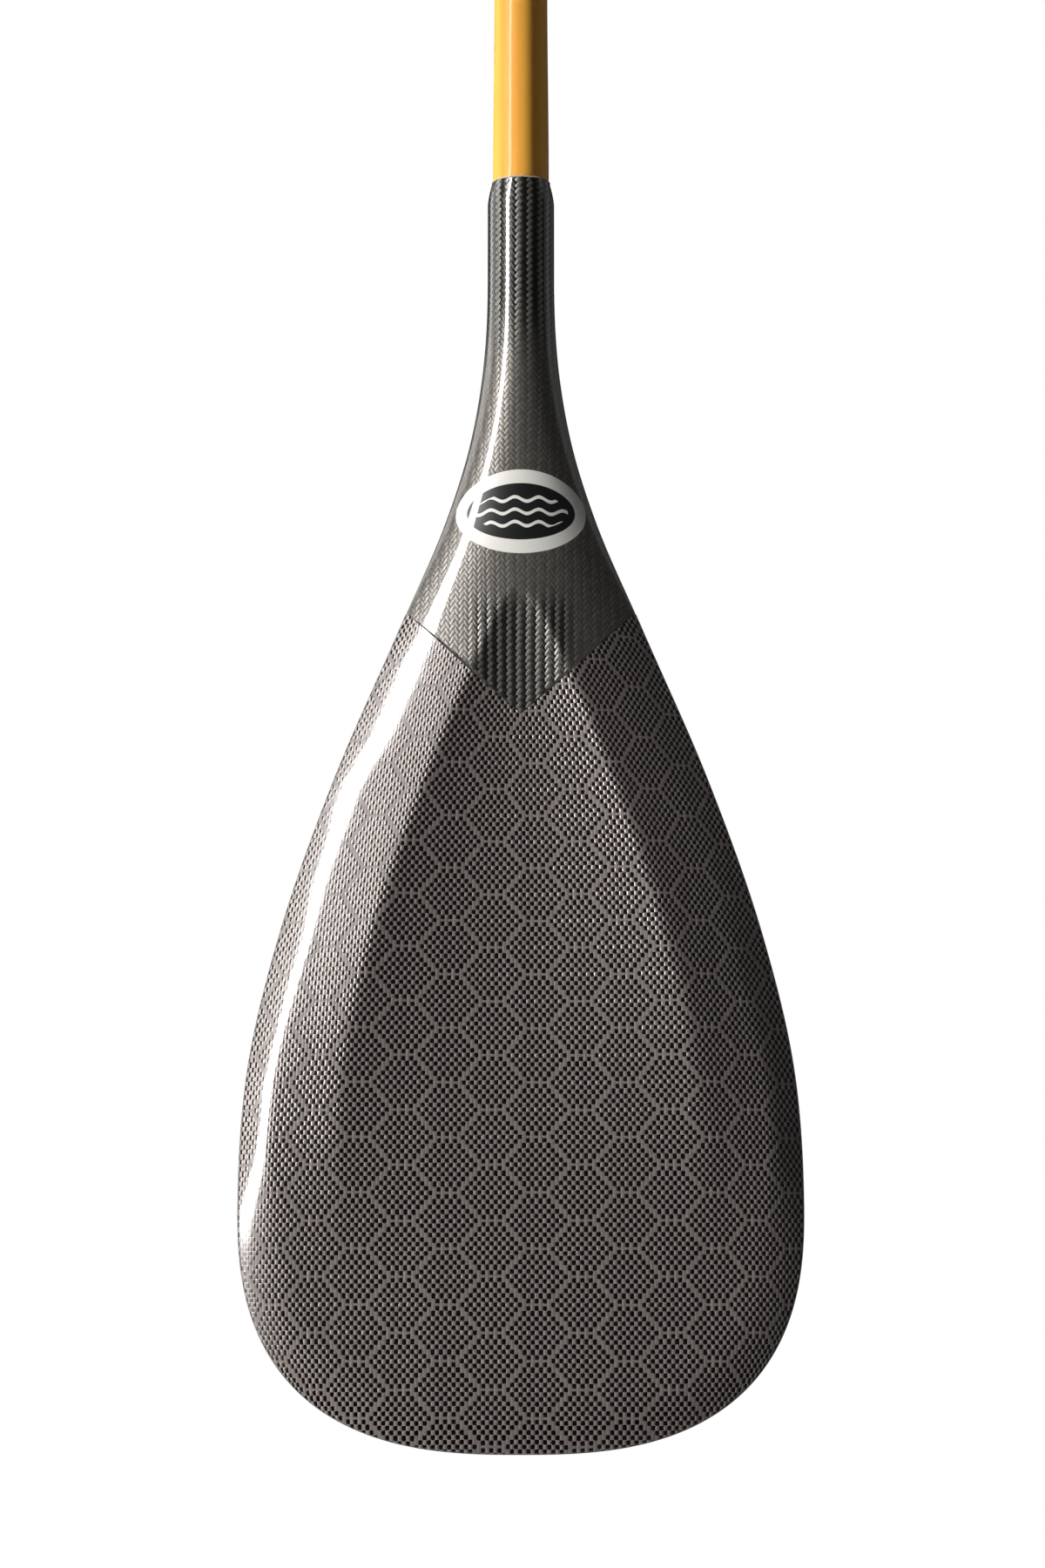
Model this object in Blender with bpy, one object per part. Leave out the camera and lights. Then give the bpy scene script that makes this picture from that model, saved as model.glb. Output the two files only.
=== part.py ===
"""Outrigger canoe paddle: a hollow shaft between a carbon blade with its neck and a moulded T grip.

Metres, +Z up. The shaft's axis is Z, X runs across the blade, and the face with the scoop looks
along -Y. The origin is on the shaft's axis where the lower hand holds it. Places along the blade
are depths: lengths down the centre line from the neck's rim. Heights are measured from the blade's
middle plane, towards -Y on the scooped face and towards +Y on the flat face.
"""

import math

import bmesh
import bpy
import numpy as np

# Clearances
SEAT_GAP = 0.0003
PARTING_GAP = 0.0003

# Shaft
SHAFT_LENGTH = 0.745
SHAFT_RADIUS = 0.0118
SHAFT_FOOT_RADIUS = 0.01245
SHAFT_FOOT_TAPER = 0.090
SHAFT_BORE_RADIUS = 0.0100
HOLD_ABOVE_RIM = 0.250
PLUG_LENGTH = 0.022
PLUG_RECESS = 0.003

# Neck
NECK_RADIUS = 0.0148
NECK_WALL = 0.0012
SOCKET_DEPTH = 0.062
RIM_ROUND = 0.010
RIM_DROP = 0.0009
RIM_POWER = 1.5
BEAD_HEIGHT = 0.0016
BEAD_SHOULDER = 0.45
BEAD_TOP = 0.35
BEND_START = 0.0675
BEND_RADIUS = 0.350
BEND_ANGLE = math.radians(10.0)
FLARE_START = 0.0425
CROWN_HEIGHT = 0.0132

# Blade
BLADE_WIDTH = 0.235
WIDEST_DEPTH = 0.4445
TIP_DEPTH = 0.5507
TIP_FULLNESS = 2.66
SKIN = 0.0008
EDGE_HALF = 0.0018
EDGE_ROUND = 0.021
FLAT_FACE_DEPTH = 0.0026
FLAT_EDGE_ROUND = 0.005
SECTION_START = 0.1125
SECTION_END = 0.2125
SPINE_HALF_WIDTH = 0.030
SPINE_END = 0.2475

# Scoop and its two ridges
SCOOP_START = 0.188
SCOOP_DEPTH = 0.0060
ARCH_LENGTH = 0.012
RIDGE_INSET = 0.041
RIDGE_RISE = 0.0098
RIDGE_FADE_START = 0.330
RIDGE_FADE_END = 0.500
SCOOP_FULL_HALF_WIDTH = 0.070
SCOOP_POWER = 1.5
ARCH_POWER = 2.0
RIDGE_POWER = 1.1

# V-shaped hem where the twill neck meets the patterned blade cloth
HEM_APEX_DEPTH = 0.2426
HEM_SLOPE = 0.945

# T grip
GRIP_WIDTH = 0.116
GRIP_HEIGHT = 0.070
GRIP_STEM_RADIUS = 0.0139
GRIP_BAR_HALF_THICKNESS = 0.0125
GRIP_BAR_HEIGHT = 0.028
GRIP_WALL = 0.0012
GRIP_STEM_LENGTH = 0.022
GRIP_SOCKET_DEPTH = 0.028
GRIP_FULLNESS = 2.6

# Rounding of the scooped face's edge at depths: its width, its rise, and 1 for a flat bevel or 2 for a roll
EDGE_FORMS = (
    (0.270, 0.022, 0.0022, 2.0),
    (0.320, 0.0135, 0.0026, 1.35),
    (0.345, 0.0135, 0.0028, 1.35),
    (0.420, 0.0135, 0.0042, 1.35),
    (0.475, 0.021, 0.0036, 2.0),
)

# The flare from neck to widest point: share of its length against share of its growth
FLARE_SHAPE = (
    (0.0, 0.0),
    (0.117, 0.0265),
    (0.196, 0.083),
    (0.277, 0.1785),
    (0.395, 0.3655),
    (0.569, 0.644),
    (0.739, 0.8605),
    (0.870, 0.970),
    (1.0, 1.0),
)

# Mesh density
TURNED_SIDES = 32
SWELL_STEPS = 6
HALF_COLUMNS = 10
GUIDE_COLUMN = 4
EDGE_STEPS = 4
RAIL_STEPS = 2
RIM_ROWS = 3
NECK_FLARE_ROWS = 16
BLADE_ROWS = 17
GRIP_COLUMNS = 8
GRIP_STEM_ROWS = 3
GRIP_FILLET_ROWS = 4
GRIP_BAR_ROWS = 5
PATH_STEPS = 240
SLAB_SHARP_DEGREES = 35.0
TURNED_SHARP_DEGREES = 40.0

# How far the guide column may stray across a row, and where the tip's corners lie
GUIDE_RANGE = (0.38, 0.66)
NECK_GUIDE = 0.588
CORNER_SHARE = 0.83

RIM_Z = -HOLD_ABOVE_RIM
SHAFT_FOOT_Z = RIM_Z - SOCKET_DEPTH
SHAFT_TOP_Z = SHAFT_FOOT_Z + SHAFT_LENGTH
GRIP_BASE_Z = SHAFT_TOP_Z - GRIP_SOCKET_DEPTH
BLADE_HALF_WIDTH = BLADE_WIDTH / 2
TIP_LENGTH = TIP_DEPTH - WIDEST_DEPTH
CORE_TOP_DEPTH = SOCKET_DEPTH + 2 * SEAT_GAP


def smooth(share):
    """Ease from 0 to 1 with no slope at either end."""
    share = np.clip(share, 0.0, 1.0)
    return share * share * (3.0 - 2.0 * share)


def quarter_round(share):
    """Rise from 0 to 1 along a quarter of a circle."""
    share = np.clip(share, 0.0, 1.0)
    return np.sqrt(1.0 - (1.0 - share) ** 2)


def rolled(share, power):
    """Rise from 0 to 1 that flattens steadily; power 1 is a flat bevel."""
    return 1.0 - (1.0 - np.clip(share, 0.0, 1.0)) ** power


def mix(first, second, share):
    return first + (second - first) * share


def flare_share(share):
    """Growth of the flare: a smooth curve through FLARE_SHAPE."""
    knots = np.array(FLARE_SHAPE)
    places, values = knots[:, 0], knots[:, 1]
    slopes = np.gradient(values, places)
    slopes[0] = 0.0
    slopes[-1] = 0.0
    share = np.clip(share, 0.0, 1.0)
    left = np.clip(np.searchsorted(places, share, side="right") - 1, 0, len(places) - 2)
    span = places[left + 1] - places[left]
    t = (share - places[left]) / span
    start = (1 + 2 * t) * (1 - t) ** 2 * values[left] + t * t * (3 - 2 * t) * values[left + 1]
    return start + span * (t * (1 - t) ** 2 * slopes[left] - t * t * (1 - t) * slopes[left + 1])


def rim_drop(depth):
    """How much the neck's rounded rim draws in."""
    return RIM_DROP * (1.0 - rolled(depth / RIM_ROUND, RIM_POWER))


def half_width(depth):
    """Half the blade's width at a depth below the rim."""
    depth = np.asarray(depth, dtype=float)
    flare = flare_share((depth - FLARE_START) / (WIDEST_DEPTH - FLARE_START))
    upper = mix(NECK_RADIUS, BLADE_HALF_WIDTH, flare) - rim_drop(depth)
    below = np.clip((depth - WIDEST_DEPTH) / TIP_LENGTH, 0.0, 1.0)
    lower = BLADE_HALF_WIDTH * (1.0 - below ** TIP_FULLNESS) ** (1.0 / TIP_FULLNESS)
    return np.where(depth > WIDEST_DEPTH, lower, upper)


def tip_depth_at(across):
    """Depth of the tip's edge at a distance from the centre line."""
    share = np.clip(np.abs(across) / BLADE_HALF_WIDTH, 0.0, 1.0)
    return WIDEST_DEPTH + TIP_LENGTH * (1.0 - share ** TIP_FULLNESS) ** (1.0 / TIP_FULLNESS)


def distance_to_path(across, along, path):
    """Distance from points to an open path of straight runs."""
    points = np.stack([np.abs(across).ravel(), along.ravel()], axis=1)[:, None, :]
    starts, steps = path[None, :-1], (path[1:] - path[:-1])[None]
    shares = ((points - starts) * steps).sum(2) / np.maximum((steps ** 2).sum(2), 1e-18)
    feet = starts + np.clip(shares, 0.0, 1.0)[..., None] * steps
    return np.sqrt(((points - feet) ** 2).sum(2)).min(1).reshape(np.shape(across))


def blade_edge_path():
    """The right half of the outline, from the rim round to the tip."""
    corner = CORNER_SHARE * BLADE_HALF_WIDTH
    side = np.linspace(0.0, tip_depth_at(corner), PATH_STEPS)
    bottom = np.linspace(corner, 0.0, PATH_STEPS)[1:]
    side_points = np.stack([half_width(side), side], axis=1)
    bottom_points = np.stack([bottom, tip_depth_at(bottom)], axis=1)
    return np.concatenate([side_points, bottom_points])


def blade_section(depth):
    """0 where the section is a round tube, 1 where it is a flat-backed blade."""
    return smooth((depth - SECTION_START) / (SECTION_END - SECTION_START))


def edge_height(depth):
    """Half the thickness of the very edge, which opens from the neck's parting line."""
    return mix(PARTING_GAP / 2, EDGE_HALF, blade_section(depth))


def ridge_half_width(depth):
    """How far each ridge lies from the centre line: a rounded arch, then beside the edge."""
    inside = np.maximum(half_width(np.minimum(depth, WIDEST_DEPTH)) - RIDGE_INSET, 1e-6)
    return np.maximum(inside * quarter_round((depth - SCOOP_START) / ARCH_LENGTH), 1e-6)


def tube_height(across, depth, crown):
    share = np.clip(np.abs(across) / np.maximum(half_width(depth), 1e-6), 0.0, 1.0)
    return crown * np.sqrt(1.0 - share ** 2)


def edge_run_up(depth, inset):
    """Height gained from the outline inwards, eased from one row of EDGE_FORMS to the next."""
    width, rise, power = EDGE_FORMS[0][1:]
    for before, after in zip(EDGE_FORMS, EDGE_FORMS[1:]):
        share = smooth((depth - before[0]) / (after[0] - before[0]))
        width = width + (after[1] - before[1]) * share
        rise = rise + (after[2] - before[2]) * share
        power = power + (after[3] - before[3]) * share
    return rise * rolled(inset / width, power)


def scooped_height(across, depth, inset):
    """Height of the scooped face at points that lie inset from the outline."""
    crown = mix(NECK_RADIUS, CROWN_HEIGHT, smooth((depth - BEND_START) / (SCOOP_START - BEND_START)))
    crown = crown - rim_drop(depth)
    ridge = ridge_half_width(depth)
    width = half_width(np.minimum(depth, WIDEST_DEPTH))
    fade = 1.0 - smooth((depth - RIDGE_FADE_START) / (RIDGE_FADE_END - RIDGE_FADE_START))
    to_ridge = (width - np.abs(across)) / (width - ridge)
    power = mix(ARCH_POWER, RIDGE_POWER, smooth((depth - SCOOP_START) / ARCH_LENGTH))
    slope = RIDGE_RISE * fade * rolled(to_ridge, power)
    sunk = SCOOP_DEPTH * fade * rolled(ridge / SCOOP_FULL_HALF_WIDTH, SCOOP_POWER)
    hollow = sunk * np.clip(1.0 - (across / ridge) ** 2, 0.0, 1.0)
    edge = edge_height(depth)
    roof = edge + edge_run_up(depth, inset) + slope - hollow
    tube = np.maximum(tube_height(across, depth, crown), edge)
    return mix(tube, roof, blade_section(depth))


def flat_height(across, depth, inset):
    """Height of the flat face, with the neck's spine running out into it."""
    sunk = smooth((depth - BEND_START) / (SPINE_END - BEND_START))
    crown = mix(NECK_RADIUS - rim_drop(depth), FLAT_FACE_DEPTH, sunk)
    edge = edge_height(depth)
    flat = edge + (FLAT_FACE_DEPTH - EDGE_HALF) * quarter_round(inset / FLAT_EDGE_ROUND)
    hump = np.clip(1.0 - (across / SPINE_HALF_WIDTH) ** 2, 0.0, 1.0) ** 2
    flat = flat + (crown - FLAT_FACE_DEPTH) * hump
    tube = np.maximum(tube_height(across, depth, crown), edge)
    return mix(tube, flat, blade_section(depth))


def drawn_in(across, depth, height, wall):
    """Move a surface inwards by a wall: towards the axis in the neck, straight in on the blade."""
    section = blade_section(depth)
    radius = np.maximum(half_width(np.minimum(depth, WIDEST_DEPTH)), 1e-6)
    wall = wall - rim_drop(depth)
    inward = mix(wall / (radius + 1e-9), 0.0, section)
    lowered = height - wall * mix(height / (NECK_RADIUS - rim_drop(depth)), 1.0, section)
    return across * (1.0 - inward), np.maximum(lowered, PARTING_GAP / 2)


def centre_line(depth):
    """Point and scooped-face normal of the centre line, straight, bent and straight again."""
    angle = np.clip((depth - BEND_START) / BEND_RADIUS, 0.0, BEND_ANGLE)
    straight = np.minimum(depth, BEND_START)
    beyond = np.maximum(depth - BEND_START - BEND_RADIUS * BEND_ANGLE, 0.0)
    y = -BEND_RADIUS * (1.0 - np.cos(angle)) - beyond * np.sin(angle)
    z = RIM_Z - straight - BEND_RADIUS * np.sin(angle) - beyond * np.cos(angle)
    return y, z, -np.cos(angle), np.sin(angle)


def blade_points(across, depth, height):
    """World points from places on the blade; height is positive on the scooped face."""
    y, z, normal_y, normal_z = centre_line(depth)
    return np.stack([across, y + normal_y * height, z + normal_z * height], axis=-1)


def columns_across(guide, side):
    """Places across a row from edge to edge, dense at the edges, with a column on the guide."""
    steps = np.sin(np.arange(HALF_COLUMNS + 1) * math.pi / 2 / HALF_COLUMNS)
    share = steps[GUIDE_COLUMN]
    inner = guide[:, None] * steps[None, :GUIDE_COLUMN] / share
    outer = side[:, None] - (side - guide)[:, None] * (1 - steps[None, GUIDE_COLUMN:]) / (1 - share)
    right = np.concatenate([inner, outer], axis=1)
    return np.concatenate([-right[:, :0:-1], right], axis=1)


def hem_side_depth():
    """Depth at which the hem reaches the blade's edge."""
    depths = np.linspace(FLARE_START, WIDEST_DEPTH, PATH_STEPS)
    return float(np.interp(HEM_APEX_DEPTH, depths + HEM_SLOPE * half_width(depths), depths))


def hem_bulge():
    """How much deeper than its two ends each column of the hem row lies."""
    side = half_width(np.array([hem_side_depth()]))
    across = columns_across(GUIDE_RANGE[0] * side, side)[0]
    return HEM_APEX_DEPTH - HEM_SLOPE * np.abs(across) - hem_side_depth()


def neck_grid():
    """Places across and along the neck, from the rim to the hem."""
    hem_side = hem_side_depth()
    rim = np.linspace(0.0, RIM_ROUND, RIM_ROWS + 1)
    tube = np.array([FLARE_START, CORE_TOP_DEPTH])
    flare = np.linspace(CORE_TOP_DEPTH, hem_side, NECK_FLARE_ROWS + 1)[1:]
    rows = np.concatenate([rim, tube, flare])
    bent = np.clip((rows - CORE_TOP_DEPTH) / (hem_side - CORE_TOP_DEPTH), 0.0, 1.0)
    side = half_width(rows)
    across = columns_across(mix(NECK_GUIDE, GUIDE_RANGE[0], smooth(bent)) * side, side)
    return across, rows[:, None] + bent[:, None] * hem_bulge()[None, :]


def blade_grid():
    """Places across and along the blade, from the hem to the rounded tip."""
    corner = np.array([CORNER_SHARE * BLADE_HALF_WIDTH])
    corner_depth = float(tip_depth_at(corner)[0])
    top = hem_side_depth() + SEAT_GAP
    turns = np.arange(EDGE_STEPS + 1) * math.pi / 2 / EDGE_STEPS
    edge_rows = corner_depth - EDGE_ROUND * (1 - np.sin(turns))
    rows = np.concatenate([np.linspace(top, edge_rows[0], BLADE_ROWS), edge_rows[1:]])
    side = half_width(rows)
    side[-1] = corner[0]
    bottom = columns_across(GUIDE_RANGE[1] * corner, corner)[0]
    bulge = np.stack([hem_bulge(), tip_depth_at(bottom) - corner_depth])
    share = smooth((rows - top) / (corner_depth - top))[:, None]
    depth = rows[:, None] + mix(bulge[0][None], bulge[1][None], share)
    guide_depth = depth[:, HALF_COLUMNS + GUIDE_COLUMN]
    guide = np.clip(ridge_half_width(guide_depth), GUIDE_RANGE[0] * side, GUIDE_RANGE[1] * side)
    return columns_across(guide, side), depth


def edge_inset(across, depth):
    """Distance to the blade's outline, exactly 0 on the grid's own edge columns."""
    inset = distance_to_path(across, depth, blade_edge_path())
    inset[:, 0] = 0.0
    inset[:, -1] = 0.0
    return inset


def faces_of(grid, is_blade):
    """Grid places with the heights of the scooped and the flat face over them."""
    across, depth = grid
    inset = edge_inset(across, depth)
    if is_blade:
        inset[-1] = 0.0
    return across, depth, scooped_height(across, depth, inset), flat_height(across, depth, inset)


def face_points(surface, wall, is_scooped):
    """World points of one face, moved inwards by a wall."""
    across, depth, scooped, flat = surface
    height = scooped if is_scooped else flat
    if wall > 0.0:
        across, height = drawn_in(across, depth, height, wall)
    return blade_points(across, depth, height if is_scooped else -height)


def make_material(name, colour, roughness, coat=0.0):
    material = bpy.data.materials.new(name)
    material.use_nodes = True
    shader = material.node_tree.nodes["Principled BSDF"]
    shader.inputs["Base Color"].default_value = (*colour, 1.0)
    shader.inputs["Roughness"].default_value = roughness
    shader.inputs["Metallic"].default_value = 0.0
    shader.inputs["Coat Weight"].default_value = coat
    material.diffuse_color = (*colour, 1.0)
    return material


def add_object(name, mesh, material, sharp_degrees):
    mesh.materials.append(material)
    mesh.shade_smooth()
    mesh.set_sharp_from_angle(angle=math.radians(sharp_degrees))
    piece = bpy.data.objects.new(name, mesh)
    bpy.context.scene.collection.objects.link(piece)
    return piece


def slab(name, front, back, material, cells=None):
    """A closed solid between two grids of points, over all cells or over the chosen ones."""
    rows, columns = front.shape[:2]
    if cells is None:
        cells = np.ones((rows - 1, columns - 1), dtype=bool)
    mesh_data = bmesh.new()
    corners = {}

    def corner(row, column, is_front):
        key = (row, column, is_front)
        if key not in corners:
            place = (front if is_front else back)[row, column]
            corners[key] = mesh_data.verts.new([float(value) for value in place])
        return corners[key]

    def chosen(row, column):
        return 0 <= row < rows - 1 and 0 <= column < columns - 1 and cells[row, column]

    def sheet(row, column, is_front):
        near, far = corner(row, column, is_front), corner(row, column + 1, is_front)
        low_near, low_far = corner(row + 1, column, is_front), corner(row + 1, column + 1, is_front)
        if column < columns // 2:
            triangles = [(near, low_near, far), (far, low_near, low_far)]
        else:
            triangles = [(near, low_near, low_far), (near, low_far, far)]
        for triangle in triangles:
            mesh_data.faces.new(triangle if is_front else triangle[::-1])

    def wall(start, end):
        ring = [corner(*start, True), corner(*end, True), corner(*end, False), corner(*start, False)]
        mesh_data.faces.new((ring[0], ring[3], ring[1]))
        mesh_data.faces.new((ring[1], ring[3], ring[2]))

    for row in range(rows - 1):
        for column in range(columns - 1):
            if not cells[row, column]:
                continue
            sheet(row, column, True)
            sheet(row, column, False)
            if not chosen(row - 1, column):
                wall((row, column), (row, column + 1))
            if not chosen(row + 1, column):
                wall((row + 1, column + 1), (row + 1, column))
            if not chosen(row, column - 1):
                wall((row + 1, column), (row, column))
            if not chosen(row, column + 1):
                wall((row, column + 1), (row + 1, column + 1))
    bmesh.ops.recalc_face_normals(mesh_data, faces=mesh_data.faces[:])
    mesh = bpy.data.meshes.new(name)
    mesh_data.to_mesh(mesh)
    mesh_data.free()
    return add_object(name, mesh, material, SLAB_SHARP_DEGREES)


def turned(name, profile, material):
    """A piece turned about Z from a closed profile of (radius, height) points."""
    mesh_data = bmesh.new()
    corners = [mesh_data.verts.new((radius, 0.0, height)) for radius, height in profile]
    edges = [mesh_data.edges.new((corners[i - 1], corners[i])) for i in range(len(corners))]
    bmesh.ops.spin(
        mesh_data, geom=corners + edges, axis=(0, 0, 1), cent=(0, 0, 0),
        angle=2 * math.pi, steps=TURNED_SIDES, use_merge=True,
    )
    bmesh.ops.remove_doubles(mesh_data, verts=mesh_data.verts[:], dist=1e-6)
    bmesh.ops.recalc_face_normals(mesh_data, faces=mesh_data.faces[:])
    mesh = bpy.data.meshes.new(name)
    mesh_data.to_mesh(mesh)
    mesh_data.free()
    return add_object(name, mesh, material, TURNED_SHARP_DEGREES)


def round_plug(name, radius, low, high, material):
    """A plain round plug standing on the shaft's axis."""
    mesh_data = bmesh.new()
    bmesh.ops.create_cone(
        mesh_data, cap_ends=True, segments=TURNED_SIDES,
        radius1=radius, radius2=radius, depth=high - low,
    )
    bmesh.ops.translate(mesh_data, verts=mesh_data.verts[:], vec=(0, 0, (low + high) / 2))
    mesh = bpy.data.meshes.new(name)
    mesh_data.to_mesh(mesh)
    mesh_data.free()
    return add_object(name, mesh, material, TURNED_SHARP_DEGREES)


def shaft_outer_profile():
    """Outer radius and height from the foot to the top, with the foot's gentle swell."""
    taper = np.linspace(0.0, 1.0, SWELL_STEPS + 1)
    radii = mix(SHAFT_FOOT_RADIUS, SHAFT_RADIUS, smooth(taper))
    swell = list(zip(radii.tolist(), (RIM_Z + SHAFT_FOOT_TAPER * taper).tolist()))
    return [(SHAFT_FOOT_RADIUS, SHAFT_FOOT_Z)] + swell + [(SHAFT_RADIUS, SHAFT_TOP_Z)]


def build_shaft(material, foam):
    bore = [(SHAFT_BORE_RADIUS, SHAFT_TOP_Z), (SHAFT_BORE_RADIUS, SHAFT_FOOT_Z)]
    turned("shaft_tube", shaft_outer_profile() + bore, material)
    radius = SHAFT_BORE_RADIUS - SEAT_GAP
    foot = SHAFT_FOOT_Z + PLUG_RECESS
    top = SHAFT_TOP_Z - PLUG_RECESS
    round_plug("shaft_lower_plug", radius, foot, foot + PLUG_LENGTH, foam)
    round_plug("shaft_upper_plug", radius, top - PLUG_LENGTH, top, foam)


def glue_sleeve(name, inner, outer, deep_z, rim_z, bead_radius, up, material):
    """The bond between shaft and socket, with its squeezed-out bead standing on the rim."""
    seat = rim_z + up * SEAT_GAP
    top = seat + up * BEAD_HEIGHT
    shoulder = seat + up * BEAD_HEIGHT * BEAD_SHOULDER
    profile = [
        (inner, deep_z), (outer, deep_z), (outer, seat), (bead_radius, seat),
        (bead_radius, shoulder), (mix(inner, bead_radius, BEAD_TOP), top), (inner, top),
    ]
    turned(name, profile, material)


def build_glue(material):
    glue_sleeve(
        "blade_joint_glue", SHAFT_FOOT_RADIUS + SEAT_GAP, NECK_RADIUS - NECK_WALL - SEAT_GAP,
        SHAFT_FOOT_Z, RIM_Z, NECK_RADIUS - RIM_DROP, 1.0, material,
    )
    glue_sleeve(
        "grip_joint_glue", SHAFT_RADIUS + SEAT_GAP, GRIP_STEM_RADIUS - GRIP_WALL - SEAT_GAP,
        SHAFT_TOP_Z, GRIP_BASE_Z, GRIP_STEM_RADIUS - SEAT_GAP, -1.0, material,
    )


def build_neck(carbon, foam):
    surface = faces_of(neck_grid(), False)
    for name, is_scooped in (("neck_back_shell", True), ("neck_power_shell", False)):
        inner = face_points(surface, NECK_WALL, is_scooped)
        slab(name, face_points(surface, 0.0, is_scooped), inner, carbon)
    below_socket = [part[RIM_ROWS + 2:] for part in surface]
    wall = NECK_WALL + SEAT_GAP
    slab("neck_core", face_points(below_socket, wall, True), face_points(below_socket, wall, False), foam)


def build_blade(cloth, rail_material, foam):
    surface = faces_of(blade_grid(), True)
    for name, is_scooped in (("blade_back_skin", True), ("blade_power_skin", False)):
        inner = face_points(surface, SKIN, is_scooped)
        slab(name, face_points(surface, 0.0, is_scooped), inner, cloth)
    wall = SKIN + SEAT_GAP
    front, back = face_points(surface, wall, True), face_points(surface, wall, False)
    rail_cells = np.ones((front.shape[0] - 1, front.shape[1] - 1), dtype=bool)
    rail_cells[:-RAIL_STEPS, RAIL_STEPS:-RAIL_STEPS] = False
    slab("edge_rail", front, back, rail_material, rail_cells)
    inside = (slice(None, -RAIL_STEPS), slice(RAIL_STEPS, -RAIL_STEPS))
    across, depth, scooped, flat = [part[inside].copy() for part in surface]
    across[:, 0] += SEAT_GAP
    across[:, -1] -= SEAT_GAP
    depth[-1] -= SEAT_GAP
    core = (across, depth, scooped, flat)
    slab("blade_core", face_points(core, wall, True), face_points(core, wall, False), foam)


def grip_side_path(inset):
    """Stem, fillet and underside of the bar, out to its end, drawn in by inset."""
    stem = GRIP_STEM_RADIUS - inset
    bar_middle = GRIP_HEIGHT - GRIP_BAR_HEIGHT / 2
    underside = GRIP_HEIGHT - GRIP_BAR_HEIGHT + inset
    fillet_height = underside - GRIP_STEM_LENGTH
    centre = GRIP_STEM_RADIUS + GRIP_HEIGHT - GRIP_BAR_HEIGHT - GRIP_STEM_LENGTH
    bends = np.arange(1, GRIP_FILLET_ROWS + 1) * math.pi / 2 / GRIP_FILLET_ROWS
    fillet_across = centre - (centre - stem) * np.cos(bends)
    fillet = np.stack([fillet_across, GRIP_STEM_LENGTH + fillet_height * np.sin(bends)], 1)
    reach = GRIP_WIDTH / 2 - inset - centre
    turns = np.arange(1, GRIP_BAR_ROWS + 1) * math.pi / 2 / GRIP_BAR_ROWS
    out = np.sin(turns) ** (2 / GRIP_FULLNESS)
    down = np.maximum(np.cos(turns), 0.0) ** (2 / GRIP_FULLNESS)
    bar = np.stack([centre + reach * out, bar_middle - (bar_middle - underside) * down], 1)
    stem_rows = np.linspace(0.0, GRIP_STEM_LENGTH, GRIP_STEM_ROWS + 1)
    stem_points = np.stack([np.full_like(stem_rows, stem), stem_rows], 1)
    return np.concatenate([stem_points, fillet, bar])


def grip_surface(inset):
    """Grid of places over the grip with the height of its faces, drawn in by inset."""
    side = grip_side_path(inset)
    shares = np.sin(np.arange(-GRIP_COLUMNS, GRIP_COLUMNS + 1) * math.pi / 2 / GRIP_COLUMNS)
    half = GRIP_WIDTH / 2 - inset
    end_height = side[-1, 1]
    crown = GRIP_HEIGHT - inset - end_height

    def top_height(share):
        fullness = np.maximum(1.0 - np.abs(share) ** GRIP_FULLNESS, 0.0)
        return end_height + crown * fullness ** (1 / GRIP_FULLNESS)

    along = np.linspace(0.0, 1.0, len(side))[:, None]
    across = side[:, :1] * shares[None, :]
    height = side[:, 1:] + along * (top_height(shares)[None, :] - end_height)
    top_shares = np.linspace(1.0, 0.0, PATH_STEPS)[1:]
    top = np.stack([top_shares * half, top_height(top_shares)], 1)
    distance = distance_to_path(across, height, np.concatenate([side, top]))
    distance[:, 0] = 0.0
    distance[:, -1] = 0.0
    distance[-1] = 0.0
    climb = smooth((height - GRIP_STEM_LENGTH) / (GRIP_HEIGHT - GRIP_BAR_HEIGHT - GRIP_STEM_LENGTH))
    half_thickness = mix(GRIP_STEM_RADIUS, GRIP_BAR_HALF_THICKNESS, climb) - inset
    bulge = np.maximum(half_thickness * quarter_round(distance / half_thickness), PARTING_GAP / 2)
    return across, height, bulge


def grip_points(surface, is_scooped):
    across, height, bulge = surface
    return np.stack([across, -bulge if is_scooped else bulge, GRIP_BASE_Z + height], axis=-1)


def build_grip(carbon, foam):
    outer, inner = grip_surface(0.0), grip_surface(GRIP_WALL)
    for name, is_scooped in (("grip_back_shell", True), ("grip_power_shell", False)):
        slab(name, grip_points(outer, is_scooped), grip_points(inner, is_scooped), carbon)
    above_socket = GRIP_STEM_ROWS + 1
    core = [part[above_socket:] for part in grip_surface(GRIP_WALL + SEAT_GAP)]
    slab("grip_core", grip_points(core, True), grip_points(core, False), foam)


def clear_scene():
    for item in list(bpy.data.objects):
        bpy.data.objects.remove(item, do_unlink=True)


def main():
    clear_scene()
    amber = make_material("amber_gloss", (0.89, 0.40, 0.045), 0.18, 1.0)
    twill = make_material("carbon_twill", (0.045, 0.042, 0.038), 0.25, 1.0)
    honeycomb = make_material("carbon_honeycomb", (0.075, 0.068, 0.062), 0.25, 1.0)
    rail_material = make_material("rail_resin", (0.02, 0.02, 0.02), 0.35)
    glue = make_material("epoxy_glue", (0.72, 0.66, 0.50), 0.45)
    foam = make_material("closed_cell_foam", (0.80, 0.78, 0.70), 0.85)
    build_shaft(amber, foam)
    build_glue(glue)
    build_neck(twill, foam)
    build_blade(honeycomb, rail_material, foam)
    build_grip(twill, foam)


main()
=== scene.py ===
"""Outrigger canoe paddle: finishes, smooth skins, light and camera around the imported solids.

Metres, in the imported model's frame: +Z up the shaft, the scooped face towards -Y, X across the
blade. Depth is the length down the centre line from the neck's rim. Each visible shell is built
again here from the part's own shape rules, on a finer grid, and carries a "cloth" attribute that
says where each point lies on the flat cloth, so that weaves follow the surface.
"""

import math

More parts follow.
